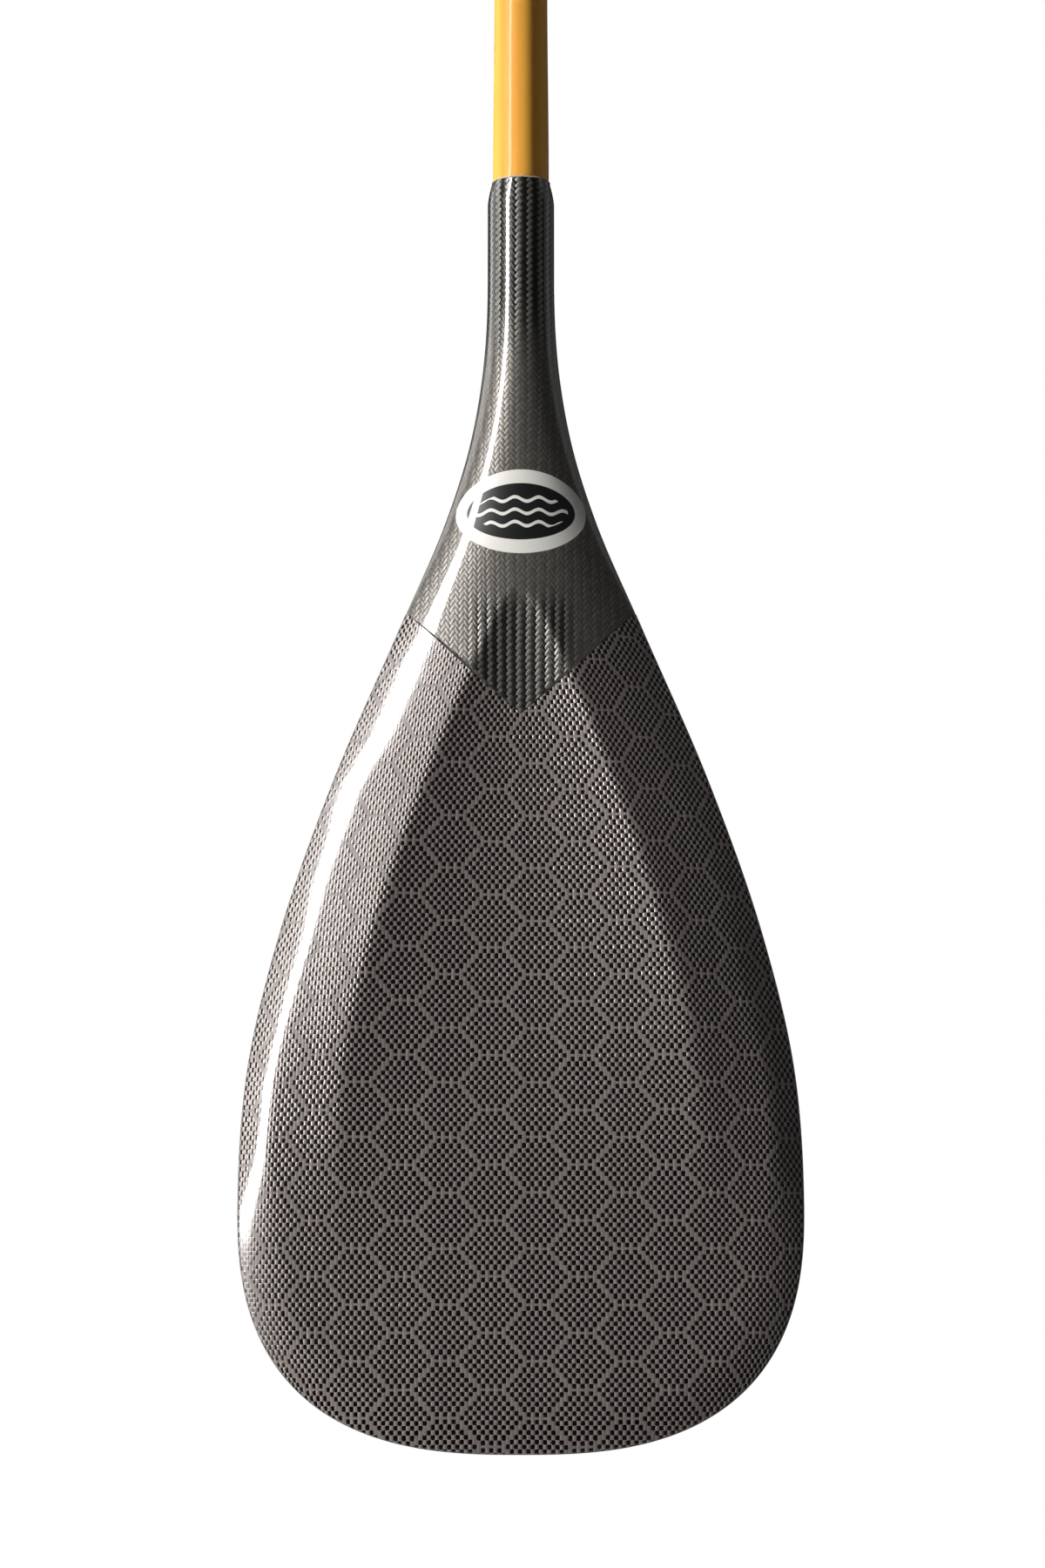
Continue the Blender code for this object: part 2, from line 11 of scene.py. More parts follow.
import bmesh
import bpy
import numpy as np
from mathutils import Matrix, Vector

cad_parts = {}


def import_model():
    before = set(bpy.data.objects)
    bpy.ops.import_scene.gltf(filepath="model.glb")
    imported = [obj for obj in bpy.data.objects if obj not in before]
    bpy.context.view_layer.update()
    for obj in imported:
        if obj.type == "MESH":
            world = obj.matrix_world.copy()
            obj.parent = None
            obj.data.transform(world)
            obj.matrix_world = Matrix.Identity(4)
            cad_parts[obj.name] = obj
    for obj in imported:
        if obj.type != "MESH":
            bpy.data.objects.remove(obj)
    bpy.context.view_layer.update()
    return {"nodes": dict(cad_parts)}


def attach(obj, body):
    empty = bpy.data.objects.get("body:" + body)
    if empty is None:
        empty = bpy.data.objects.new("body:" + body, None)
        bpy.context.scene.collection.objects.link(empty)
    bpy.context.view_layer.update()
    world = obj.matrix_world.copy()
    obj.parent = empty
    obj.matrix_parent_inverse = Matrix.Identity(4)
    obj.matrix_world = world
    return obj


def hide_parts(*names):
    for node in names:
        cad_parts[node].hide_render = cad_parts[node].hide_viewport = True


# Clearances between bonded pieces
SEAT_GAP = 0.0003
PARTING_GAP = 0.0001

# Shaft
SHAFT_LENGTH = 0.745
SHAFT_RADIUS = 0.0118
SHAFT_FOOT_RADIUS = 0.01245
SHAFT_FOOT_TAPER = 0.090
SHAFT_BORE_RADIUS = 0.0100
HOLD_ABOVE_RIM = 0.250

# Neck
NECK_RADIUS = 0.0148
NECK_WALL = 0.0012
SOCKET_DEPTH = 0.062
RIM_ROUND = 0.010
RIM_DROP = 0.0020
RIM_WALL = 0.00015
RIM_POWER = 1.5
BEND_START = 0.0675
BEND_RADIUS = 0.350
BEND_ANGLE = math.radians(10.0)
FLARE_START = 0.0425
CROWN_HEIGHT = 0.0132

# Blade
BLADE_WIDTH = 0.235
WIDEST_DEPTH = 0.4445
TIP_DEPTH = 0.5507
TIP_FULLNESS = 2.66
SKIN = 0.0008
EDGE_HALF = 0.0018
EDGE_ROUND = 0.021
EDGE_CORNER = 0.0005
FLAT_FACE_DEPTH = 0.0026
FLAT_EDGE_ROUND = 0.005
SECTION_START = 0.1125
SECTION_END = 0.228
SPINE_HALF_WIDTH = 0.030
SPINE_END = 0.2475

# Scoop and its two ridges
SCOOP_START = 0.188
SCOOP_DEPTH = 0.0060
ARCH_LENGTH = 0.012
RIDGE_INSET = 0.041
RIDGE_RISE = 0.0098
RIDGE_FADE_START = 0.330
RIDGE_FADE_END = 0.500
SCOOP_FULL_HALF_WIDTH = 0.070
SCOOP_POWER = 1.5
ARCH_POWER = 2.0
RIDGE_POWER = 1.1
SLOPE_START = 0.165
CREST_EASE = 0.050
SLOPE_EASE = 0.060

# V-shaped hem where the twill neck meets the patterned blade cloth
HEM_APEX_DEPTH = 0.2426
HEM_SLOPE = 0.945
HEM_GAP = 0.00015

# Filled edge between the blade's skins: its depth, rounded crown, set-back and play
RAIL_DEPTH = 0.003
RAIL_CROWN = 0.0004
RAIL_SET_BACK = 0.00012
RAIL_PLAY = 0.00002

# Bonds between shaft, neck and grip, each with a bead that stands on the rim
GLUE_PLAY = 0.00005
GLUE_AT_RIM = 0.0003
BEAD_RISE = 0.0007
BEAD_FOOT = 0.0001
BEAD_WIDTH = 0.0006
BEAD_POWER = 1.6
BEAD_FIRST_TURN = 0.2

# T grip
GRIP_WIDTH = 0.116
GRIP_HEIGHT = 0.070
GRIP_STEM_RADIUS = 0.0139
GRIP_BAR_HALF_THICKNESS = 0.0125
GRIP_BAR_HEIGHT = 0.028
GRIP_WALL = 0.0012
GRIP_STEM_LENGTH = 0.022
GRIP_SOCKET_DEPTH = 0.028
GRIP_FULLNESS = 2.6

# Rounding of the scooped face's edge. A row holds a depth, the rounding's width and rise there,
# and its power, which is 1 for a flat bevel and 2 for a roll.
EDGE_FORMS = (
    (0.205, 0.028, 0.0024, 2.4),
    (0.250, 0.022, 0.0022, 1.9),
    (0.279, 0.0145, 0.0014, 1.53),
    (0.310, 0.0145, 0.00175, 1.7),
    (0.345, 0.0145, 0.0024, 1.34),
    (0.400, 0.0135, 0.0034, 1.4),
    (0.425, 0.0135, 0.0042, 1.4),
    (0.475, 0.021, 0.0036, 2.0),
)

# The flare from neck to widest point: share of its length against share of its growth
FLARE_SHAPE = (
    (0.0, 0.0),
    (0.117, 0.0265),
    (0.196, 0.083),
    (0.277, 0.1785),
    (0.395, 0.3655),
    (0.569, 0.644),
    (0.739, 0.8605),
    (0.870, 0.970),
    (1.0, 1.0),
)

# Bias twill: how far it is drawn in round the neck, where its first diagonal lies, tow width and
# relief. Its two tow directions carry painted sheen, one painted lit and one painted dim, which evens
# out so that they look alike on the flare, between the tube and the scoop.
TUBE_CLOTH_STRETCH = 1.15
TWILL_SHIFT = 0.0019
TWILL_TOW = 0.00203
TWILL_RELIEF = 0.00014
TUBE_TO_FLARE = (0.050, 0.090)
FLARE_TO_SCOOP = (0.185, 0.200)
FLARE_TO_SCOOP_SIDE = (0.026, 0.016)
CALM_ON_FLARE = 0.85
CALM_LOST_IN_SCOOP = 0.80

# Patterned cloth of the blade: a hexagon reaches half a repeat of tows and picks from its middle,
# and meets the next one where the two counts together come to its edge
TOW_PITCH = 0.0017
PICK_PITCH = 0.00189
PATTERN_SHIFT = (0.00663, 0.00344)
HALF_TOWS = 11.0
HALF_PICKS = 6.0
HEXAGON_EDGE = 8.5
DOT_TIGHTNESS = (1.93, 1.83)
DOT_SQUARENESS = 2.2
DOT_BORDER = (1.6, 0.9)
DIVE_BORDER = (0.6, 1.3)

# Rows near the plain one between two hexagons are drawn to it, by a share of a pick
ROW_DRAW = 0.27
ROW_DRAW_START = (3.2, 5.3)
ROW_DRAW_END = (HALF_PICKS, 5.6)

# Relief of the patterned cloth: its scale, the shares of it that plain warp, floats, a hexagon's
# middle row and the weft take up, and how flat a pick's top is
HONEYCOMB_RELIEF = 0.00016
PLAIN_HEIGHT = 0.45
FLOAT_HEIGHT = 0.80
MIDDLE_EXTRA = 0.22
WEFT_HEIGHT = 0.35
PICK_FLATNESS = 1.7

# Finish of the patterned cloth; a pair is for plain warp and for its beads between the dots.
# The beads' brightness is partly painted sheen and partly keeps their diffuse share as they take more
# metal; the dive shade is painted shade where a bead dives beside a dot.
WARP_BRIGHTNESS = (0.98, 1.5)
DIVE_SHADE = (1.0, 0.75)
WARP_METAL = (0.08, 0.25)
WARP_ROUGHNESS = (0.42, 0.24)
WEFT_METAL = 1.0
WEFT_ROUGHNESS = 0.17

# Finish of the twill; a pair is for the dim and the lit tow direction, or for uneven and calm cloth.
# The deepest gap is painted shade: how far the colour darkens in the weave's gaps.
TOW_METAL = (0.66, 0.52)
TOW_ROUGHNESS = (0.37, 0.34)
CALM_METAL = 0.56
CALM_ROUGHNESS = 0.37
DEEPEST_PAINTED_GAP_SHADE = (0.35, 0.72)
RELIEF_SHARE = (1.0, 0.55)

# Oval badge on the neck: depth of its middle, then half its width and height, and its wavy lines
BADGE_DEPTH = 0.1528
BADGE_RING = (0.0284, 0.0190)
BADGE_FIELD = (0.0236, 0.0128)
WAVE_FIELD = (0.0205, 0.0086)
WAVE_LENGTH = 0.0105
WAVE_SWING = 0.0010
WAVE_SPACING = 0.0056
WAVE_BORDER = (0.00085, 0.00070)

# Amber: its streaks are noise that changes this much more slowly along the shaft than across it
STREAK_SLOWNESS = 0.03
AMBER_RELIEF = 0.00002

# Colours; a pair holds the two ends between which single tows or streaks vary
# The warp grey is painted sheen: carbon is near black, and the grey stands for the light its upright fibres
# catch.
WARP_SHEEN_GREYS = ((0.206, 0.178, 0.169, 1), (0.242, 0.209, 0.198, 1))
WEFT_GREY = (0.090, 0.082, 0.080, 1)
# The tow greys are painted sheen as well: one tow direction painted lit, one painted dim, and an even grey
# between them.
PAINTED_LIT_TOWS = ((0.22, 0.207, 0.188, 1), (0.29, 0.275, 0.252, 1))
PAINTED_DIM_TOWS = ((0.010, 0.009, 0.008, 1), (0.030, 0.027, 0.024, 1))
EVEN_SHEEN_TOWS = ((0.152, 0.142, 0.127, 1), (0.204, 0.190, 0.171, 1))
AMBERS = ((0.99, 0.51, 0.068, 1), (0.99, 0.55, 0.082, 1))
BADGE_WHITE = (0.90, 0.89, 0.85, 1)
BADGE_BLACK = (0.004, 0.004, 0.005, 1)
EDGE_BLACK = (0.012, 0.012, 0.013, 1)
GLUE_CREAM = (0.70, 0.64, 0.50, 1)
FOAM_CREAM = (0.80, 0.78, 0.70, 1)
FLOOR_GREY = (0.85, 0.85, 0.85, 1)
WHITE = (1, 1, 1, 1)

# Mesh density
TURNED_SIDES = 128
HALF_COLUMNS = 44
GUIDE_COLUMN = 18
NECK_ROWS = 150
BLADE_ROWS = 96
TIP_ROWS = 22
GRIP_COLUMNS = 40
GRIP_STEM_ROWS = 12
GRIP_FILLET_STEPS = 16
GRIP_END_STEPS = 24
SWELL_ROWS = 25
BEAD_STEPS = 5
RAIL_STEPS = 9
PATH_STEPS = 900

# Shares of the half width: where the guide column may lie, where it lies in the tube, and where
# the outline's side turns into its tip
GUIDE_RANGE = (0.38, 0.66)
NECK_GUIDE = 0.599
CORNER_SHARE = 0.83

SHARP_ANGLE = math.radians(50.0)
NOT_ZERO = 1e-6

# Softboxes stand round the shaft's axis: azimuth 0 is where the camera stands, and minus is to its
# left. Each lights one kind of ray, so the key gives no mirror image and the cards give no light.
# A row holds a name, azimuth, distance, height, the height aimed at, width, length, radiance, tint
# and the kind of ray.
MID_HEIGHT = -0.30
NEUTRAL = (1.0, 1.0, 1.0)
WARM = (1.0, 0.985, 0.95)
SOFTBOXES = (
    ("key_softbox", -65.0, 1.2, MID_HEIGHT, MID_HEIGHT, 0.20, 3.0, 23.8, WARM, "diffuse"),
    ("highlight_strip", -47.0, 1.2, 0.31, 0.31, 0.22, 1.78, 22.0, NEUTRAL, "glossy"),
    ("highlight_foot", -47.0, 1.2, -0.79, -0.79, 0.26, 0.42, 3.0, NEUTRAL, "glossy"),
    ("left_pale_card", -112.0, 1.2, MID_HEIGHT, MID_HEIGHT, 0.8, 2.6, 1.5, NEUTRAL, "glossy"),
    ("near_grey_card", 98.0, 1.2, MID_HEIGHT, MID_HEIGHT, 0.45, 2.6, 0.20, NEUTRAL, "glossy"),
    ("far_grey_card", 126.0, 1.2, MID_HEIGHT, MID_HEIGHT, 0.70, 2.6, 0.09, NEUTRAL, "glossy"),
    ("front_fill", 35.0, 1.6, MID_HEIGHT, MID_HEIGHT, 0.6, 2.4, 0.32, NEUTRAL, "diffuse"),
    ("back_fill", 172.0, 1.6, 0.0, MID_HEIGHT, 0.6, 2.4, 4.0, NEUTRAL, "diffuse"),
)

# The room is white to the camera, and mostly dark card to the paddle: a faint cool light, and a
# small share of the white in its gloss
ROOM_TINT = (0.86, 0.92, 1.0, 1)
ROOM_LIGHT = 0.018
ROOM_IN_GLOSS = 0.015
FLOOR_REACH = 12.0
FLOOR_LEVEL = -2.60

# Camera, level but for a small pitch upwards
CAMERA_LENS = 60.0
CAMERA_SENSOR = 36.0
CAMERA_NEAR = 0.01
CAMERA_PLACE = (0.0007, -1.1530, -0.5659)
CAMERA_TURN = math.radians(92.4)

RIM_Z = -HOLD_ABOVE_RIM
SHAFT_FOOT_Z = RIM_Z - SOCKET_DEPTH
SHAFT_TOP_Z = SHAFT_FOOT_Z + SHAFT_LENGTH
GRIP_BASE_Z = SHAFT_TOP_Z - GRIP_SOCKET_DEPTH
BLADE_HALF_WIDTH = BLADE_WIDTH / 2
TIP_LENGTH = TIP_DEPTH - WIDEST_DEPTH


# Shape rules of the neck and blade


def smooth(share):
    """Ease from 0 to 1 with no slope at either end."""
    share = np.clip(share, 0.0, 1.0)
    return share * share * (3.0 - 2.0 * share)


def eased(place, start, end):
    """Ease from 0 at one place to 1 at another."""
    return smooth((place - start) / (end - start))


def quarter_round(share):
    """Rise from 0 to 1 along a quarter of a circle."""
    share = np.clip(share, 0.0, 1.0)
    return np.sqrt(1.0 - (1.0 - share) ** 2)


def rolled(share, power):
    """Rise from 0 to 1 that flattens steadily; power 1 is a flat bevel."""
    return 1.0 - (1.0 - np.clip(share, 0.0, 1.0)) ** power


def mix(first, second, share):
    """From first to second by a share."""
    return first + (second - first) * share


def quarter_turn(steps):
    """Angles from 0 to a quarter turn in even steps."""
    return np.arange(steps + 1) * math.pi / 2 / steps


def flare_share(share):
    """Growth of the flare: a smooth curve through FLARE_SHAPE."""
    knots = np.array(FLARE_SHAPE)
    places, values = knots[:, 0], knots[:, 1]
    slopes = np.gradient(values, places)
    slopes[0] = 0.0
    slopes[-1] = 0.0
    share = np.clip(share, 0.0, 1.0)
    left = np.clip(np.searchsorted(places, share, side="right") - 1, 0, len(places) - 2)
    span = places[left + 1] - places[left]
    t = (share - places[left]) / span
    start = (1 + 2 * t) * (1 - t) ** 2 * values[left] + t * t * (3 - 2 * t) * values[left + 1]
    return start + span * (t * (1 - t) ** 2 * slopes[left] - t * t * (1 - t) * slopes[left + 1])


def rim_drop(depth):
    """How much the neck's rounded rim draws in."""
    return RIM_DROP * (1.0 - rolled(depth / RIM_ROUND, RIM_POWER))


def half_width(depth):
    """Half the blade's width at a depth below the rim."""
    depth = np.asarray(depth, dtype=float)
    flare = flare_share((depth - FLARE_START) / (WIDEST_DEPTH - FLARE_START))
    upper = mix(NECK_RADIUS, BLADE_HALF_WIDTH, flare) - rim_drop(depth)
    below = np.clip((depth - WIDEST_DEPTH) / TIP_LENGTH, 0.0, 1.0)
    lower = BLADE_HALF_WIDTH * (1.0 - below ** TIP_FULLNESS) ** (1.0 / TIP_FULLNESS)
    return np.where(depth > WIDEST_DEPTH, lower, upper)


def tip_depth_at(across):
    """Depth of the tip's edge at a distance from the centre line."""
    share = np.clip(np.abs(across) / BLADE_HALF_WIDTH, 0.0, 1.0)
    return WIDEST_DEPTH + TIP_LENGTH * (1.0 - share ** TIP_FULLNESS) ** (1.0 / TIP_FULLNESS)


def distance_to_path(across, along, path):
    """Distance from rows of points to an open path of straight runs."""
    starts, steps = path[:-1], path[1:] - path[:-1]
    lengths = np.maximum((steps ** 2).sum(1), NOT_ZERO ** 2)
    distance = np.empty(np.shape(across))
    for row in range(len(across)):
        points = np.stack([np.abs(across[row]), along[row]], axis=1)[:, None, :]
        shares = np.clip(((points - starts) * steps).sum(2) / lengths, 0.0, 1.0)
        feet = starts + shares[..., None] * steps
        distance[row] = np.sqrt(((points - feet) ** 2).sum(2).min(1))
    return distance


def blade_edge_path():
    """The right half of the outline, from the rim round to the tip."""
    corner = CORNER_SHARE * BLADE_HALF_WIDTH
    side = np.linspace(0.0, tip_depth_at(corner), PATH_STEPS)
    bottom = np.linspace(corner, 0.0, PATH_STEPS)[1:]
    side_points = np.stack([half_width(side), side], axis=1)
    bottom_points = np.stack([bottom, tip_depth_at(bottom)], axis=1)
    return np.concatenate([side_points, bottom_points])


def blade_section(depth):
    """0 where the section is a round tube, 1 where it is a flat-backed blade."""
    return eased(depth, SECTION_START, SECTION_END)


def edge_height(depth):
    """Half the thickness of the very edge, which opens from the neck's parting line."""
    return mix(PARTING_GAP / 2, EDGE_HALF, blade_section(depth))


def ridge_half_width(depth):
    """How far each ridge lies from the centre line: a rounded arch, then beside the edge."""
    inside = np.maximum(half_width(np.minimum(depth, WIDEST_DEPTH)) - RIDGE_INSET, NOT_ZERO)
    return np.maximum(inside * quarter_round((depth - SCOOP_START) / ARCH_LENGTH), NOT_ZERO)


def crest_half_width(depth):
    """How far each outer slope's crest lies from the centre line, eased out of the round neck."""
    inside = np.maximum(half_width(np.minimum(depth, WIDEST_DEPTH)) - RIDGE_INSET, 0.0)
    return inside * smooth((depth - SLOPE_START) / CREST_EASE)


def tube_height(across, depth, crown):
    """Height of the neck where its section is a round or oval tube."""
    share = np.clip(np.abs(across) / np.maximum(half_width(depth), NOT_ZERO), 0.0, 1.0)
    return crown * np.sqrt(1.0 - share ** 2)


def eased_corner(inset):
    """How much the cloth's trimmed edge rolls over at the outline."""
    share = np.clip(inset / EDGE_CORNER, 0.0, 1.0)
    return EDGE_CORNER * (1.0 - quarter_round(share))


def edge_run_up(depth, inset):
    """Height gained from the outline inwards, eased from one row of EDGE_FORMS to the next."""
    width, rise, power = EDGE_FORMS[0][1:]
    for before, after in zip(EDGE_FORMS, EDGE_FORMS[1:]):
        share = eased(depth, before[0], after[0])
        width = width + (after[1] - before[1]) * share
        rise = rise + (after[2] - before[2]) * share
        power = power + (after[3] - before[3]) * share
    return rise * rolled(inset / width, power)


def scooped_height(across, depth, inset):
    """Height of the scooped face at points that lie inset from the outline."""
    below_bend = eased(depth, BEND_START, SCOOP_START)
    crown = mix(NECK_RADIUS, CROWN_HEIGHT, below_bend) - rim_drop(depth)
    ridge = ridge_half_width(depth)
    width = half_width(np.minimum(depth, WIDEST_DEPTH))
    fade = 1.0 - eased(depth, RIDGE_FADE_START, RIDGE_FADE_END)
    to_crest = (width - np.abs(across)) / (width - crest_half_width(depth))
    power = mix(ARCH_POWER, RIDGE_POWER, smooth((depth - SLOPE_START) / SLOPE_EASE))
    slope = RIDGE_RISE * fade * rolled(to_crest, power)
    sunk = SCOOP_DEPTH * fade * rolled(ridge / SCOOP_FULL_HALF_WIDTH, SCOOP_POWER)
    hollow = sunk * np.clip(1.0 - (across / ridge) ** 2, 0.0, 1.0)
    edge = edge_height(depth)
    roof = edge + edge_run_up(depth, inset) + slope - hollow
    tube = np.maximum(tube_height(across, depth, crown), edge)
    section = blade_section(depth)
    return mix(tube, roof, section) - section * eased_corner(inset)


def flat_height(across, depth, inset):
    """Height of the flat face, with the neck's spine running out into it."""
    sunk = eased(depth, BEND_START, SPINE_END)
    crown = mix(NECK_RADIUS - rim_drop(depth), FLAT_FACE_DEPTH, sunk)
    edge = edge_height(depth)
    flat = edge + (FLAT_FACE_DEPTH - EDGE_HALF) * quarter_round(inset / FLAT_EDGE_ROUND)
    hump = np.clip(1.0 - (across / SPINE_HALF_WIDTH) ** 2, 0.0, 1.0) ** 2
    flat = flat + (crown - FLAT_FACE_DEPTH) * hump
    tube = np.maximum(tube_height(across, depth, crown), edge)
    section = blade_section(depth)
    return mix(tube, flat, section) - section * eased_corner(inset)


def drawn_in(across, depth, height, wall):
    """Move a surface inwards by a wall: towards the axis in the neck, straight in on the blade."""
    section = blade_section(depth)
    radius = np.maximum(half_width(np.minimum(depth, WIDEST_DEPTH)), NOT_ZERO)
    wall = np.maximum(wall - rim_drop(depth), RIM_WALL)
    inward = mix(wall / radius, 0.0, section)
    lowered = height - wall * mix(height / (NECK_RADIUS - rim_drop(depth)), 1.0, section)
    return across * (1.0 - inward), np.maximum(lowered, PARTING_GAP / 2)


def centre_line(depth):
    """Y and Z of the centre line and of its normal: straight, then bent, then straight again."""
    angle = np.clip((depth - BEND_START) / BEND_RADIUS, 0.0, BEND_ANGLE)
    straight = np.minimum(depth, BEND_START)
    beyond = np.maximum(depth - BEND_START - BEND_RADIUS * BEND_ANGLE, 0.0)
    y = -BEND_RADIUS * (1.0 - np.cos(angle)) - beyond * np.sin(angle)
    z = RIM_Z - straight - BEND_RADIUS * np.sin(angle) - beyond * np.cos(angle)
    return y, z, -np.cos(angle), np.sin(angle)


def blade_points(across, depth, height):
    """World points from places on the blade; height is positive on the scooped face."""
    y, z, normal_y, normal_z = centre_line(depth)
    return np.stack([across, y + normal_y * height, z + normal_z * height], axis=-1)


def columns_across(guide, side):
    """Places across a row from edge to edge, dense at the edges, with a column on the guide."""
    steps = np.sin(quarter_turn(HALF_COLUMNS))
    share = steps[GUIDE_COLUMN]
    inner = guide[:, None] * steps[None, :GUIDE_COLUMN] / share
    outer = side[:, None] - (side - guide)[:, None] * (1 - steps[None, GUIDE_COLUMN:]) / (1 - share)
    right = np.concatenate([inner, outer], axis=1)
    return np.concatenate([-right[:, :0:-1], right], axis=1)


def hem_side_depth():
    """Depth at which the hem reaches the blade's edge."""
    depths = np.linspace(FLARE_START, WIDEST_DEPTH, PATH_STEPS)
    return float(np.interp(HEM_APEX_DEPTH, depths + HEM_SLOPE * half_width(depths), depths))


def hem_bulge():
    """How much deeper than its two ends each column of the hem row lies."""
    side = half_width(np.array([hem_side_depth()]))
    across = columns_across(GUIDE_RANGE[0] * side, side)[0]
    return HEM_APEX_DEPTH - HEM_SLOPE * np.abs(across) - hem_side_depth()


def neck_grid():
    """Places across and along the neck, from the rim to the hem."""
    hem_side = hem_side_depth()
    rows = np.linspace(0.0, hem_side, NECK_ROWS)
    bent = np.clip((rows - SOCKET_DEPTH) / (hem_side - SOCKET_DEPTH), 0.0, 1.0)
    side = half_width(rows)
    across = columns_across(mix(NECK_GUIDE, GUIDE_RANGE[0], smooth(bent)) * side, side)
    return across, rows[:, None] + bent[:, None] * hem_bulge()[None, :]


def blade_grid():
    """Places across and along the blade, from the hem to the rounded tip."""
    corner = np.array([CORNER_SHARE * BLADE_HALF_WIDTH])
    corner_depth = float(tip_depth_at(corner)[0])
    top = hem_side_depth() + HEM_GAP
    last = corner_depth - EDGE_ROUND
    turned = last + EDGE_ROUND * np.sin(quarter_turn(TIP_ROWS)[1:])
    rows = np.concatenate([np.linspace(top, last, BLADE_ROWS), turned])
    side = half_width(rows)
    side[-1] = corner[0]
    bottom = columns_across(GUIDE_RANGE[1] * corner, corner)[0]
    bulge = np.stack([hem_bulge(), tip_depth_at(bottom) - corner_depth])
    share = eased(rows, top, corner_depth)[:, None]
    depth = rows[:, None] + mix(bulge[0][None], bulge[1][None], share)
    guide_depth = depth[:, HALF_COLUMNS + GUIDE_COLUMN]
    guide = np.clip(ridge_half_width(guide_depth), GUIDE_RANGE[0] * side, GUIDE_RANGE[1] * side)
    return columns_across(guide, side), depth


def faces_of(grid, is_blade):
    """Grid places with the heights of the scooped and the flat face over them."""
    across, depth = grid
    inset = distance_to_path(across, depth, blade_edge_path())
    inset[:, 0] = 0.0
    inset[:, -1] = 0.0
    if is_blade:
        inset[-1] = 0.0
    return across, depth, scooped_height(across, depth, inset), flat_height(across, depth, inset)


def face_points(surface, wall, is_scooped):
    """World points of one face, moved inwards by a wall."""
    across, depth, scooped, flat = surface
    height = scooped if is_scooped else flat
    if wall > 0.0:
        across, height = drawn_in(across, depth, height, wall)
    return blade_points(across, depth, height if is_scooped else -height)


def cloth_places(points, across, along, stretch=1.0, shift=0.0):
    """Where each grid point lies on its flat cloth, with the plain distance across as well."""
    steps = np.linalg.norm(np.diff(points, axis=1), axis=2)
    run = np.concatenate([np.zeros((len(steps), 1)), np.cumsum(steps, axis=1)], axis=1)
    middle = run[:, run.shape[1] // 2]
    return np.stack([(run - middle[:, None]) * stretch + shift, along, across], axis=-1)


# Meshes


def add_piece(name, mesh, material, node):
    """Put a finished mesh in the scene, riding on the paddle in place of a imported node."""
    mesh.materials.append(material)
    mesh.shade_smooth()
    mesh.set_sharp_from_angle(angle=SHARP_ANGLE)
    piece = bpy.data.objects.new(name, mesh)
    bpy.context.scene.collection.objects.link(piece)
    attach(piece, "root")
    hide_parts(node)


def mesh_of(name, points, faces, cloth=None):
    """A mesh with faces turned outwards and, if given, its places on the cloth."""
    mesh = bpy.data.meshes.new(name)
    mesh.from_pydata([tuple(point) for point in points], [], faces)
    if cloth is not None:
        layer = mesh.attributes.new("cloth", "FLOAT_VECTOR", "POINT")
        layer.data.foreach_set("vector", np.asarray(cloth, dtype=np.float32).ravel())
    mesh_data = bmesh.new()
    mesh_data.from_mesh(mesh)
    bmesh.ops.recalc_face_normals(mesh_data, faces=mesh_data.faces[:])
    mesh_data.to_mesh(mesh)
    mesh_data.free()
    return mesh


def quads_of(*corners):
    """Faces of four corners each, from four like arrays of point numbers."""
    return np.stack(corners, axis=-1).reshape(-1, 4)


def shell_mesh(name, outer, inner, cloth):
    """A closed shell between two grids of points, joined round the border."""
    rows, columns = outer.shape[:2]
    count = rows * columns
    index = np.arange(count).reshape(rows, columns)
    quads = quads_of(index[:-1, :-1], index[:-1, 1:], index[1:, 1:], index[1:, :-1])
    border = np.concatenate([index[0, :-1], index[:-1, -1], index[-1, :0:-1], index[:0:-1, 0]])
    following = np.roll(border, -1)
    walls = quads_of(border, following, following + count, border + count)
    faces = np.concatenate([quads, quads[:, ::-1] + count, walls]).tolist()
    points = np.concatenate([outer.reshape(-1, 3), inner.reshape(-1, 3)])
    places = np.concatenate([cloth.reshape(-1, 3), cloth.reshape(-1, 3)])
    return mesh_of(name, points, faces, places)


def turned_mesh(name, profile):
    """A ring turned about Z from a closed profile."""
    profile = np.array(profile)
    angles = np.arange(TURNED_SIDES)[:, None] * 2 * math.pi / TURNED_SIDES
    radius, height = profile[:, 0], np.tile(profile[:, 1], (TURNED_SIDES, 1))
    points = np.stack([radius * np.sin(angles), -radius * np.cos(angles), height], axis=-1)
    index = np.arange(height.size).reshape(height.shape)
    beside, above = np.roll(index, -1, axis=0), np.roll(index, -1, axis=1)
    faces = quads_of(index, beside, np.roll(beside, -1, axis=1), above).tolist()
    return mesh_of(name, points.reshape(-1, 3), faces)


# Shader nodes and finishes

FLOAT = "NodeSocketFloat"
VECTOR = "NodeSocketVector"
COLOUR = "NodeSocketColor"


def feed(tree, value, socket):
    """Set a socket to a value, or link it when the value is another node's output."""
    if isinstance(value, bpy.types.NodeSocket):
        tree.links.new(value, socket)
    else:
        socket.default_value = value


def add_node(tree, kind, sockets=None, **settings):
    """A node with its settings, and with its input sockets fed by name or number."""
    node = tree.nodes.new(kind)
    for name, value in settings.items():
        setattr(node, name, value)
    for socket, value in (sockets or {}).items():
        feed(tree, value, node.inputs[socket])
    return node


def calc(tree, operation, *values):
    """The result of one Math node."""
    return add_node(tree, "ShaderNodeMath", dict(enumerate(values)), operation=operation).outputs[0]


def plus(tree, first, second):
    return calc(tree, "ADD", first, second)


def minus(tree, first, second):
    return calc(tree, "SUBTRACT", first, second)


def times(tree, first, second):
    return calc(tree, "MULTIPLY", first, second)


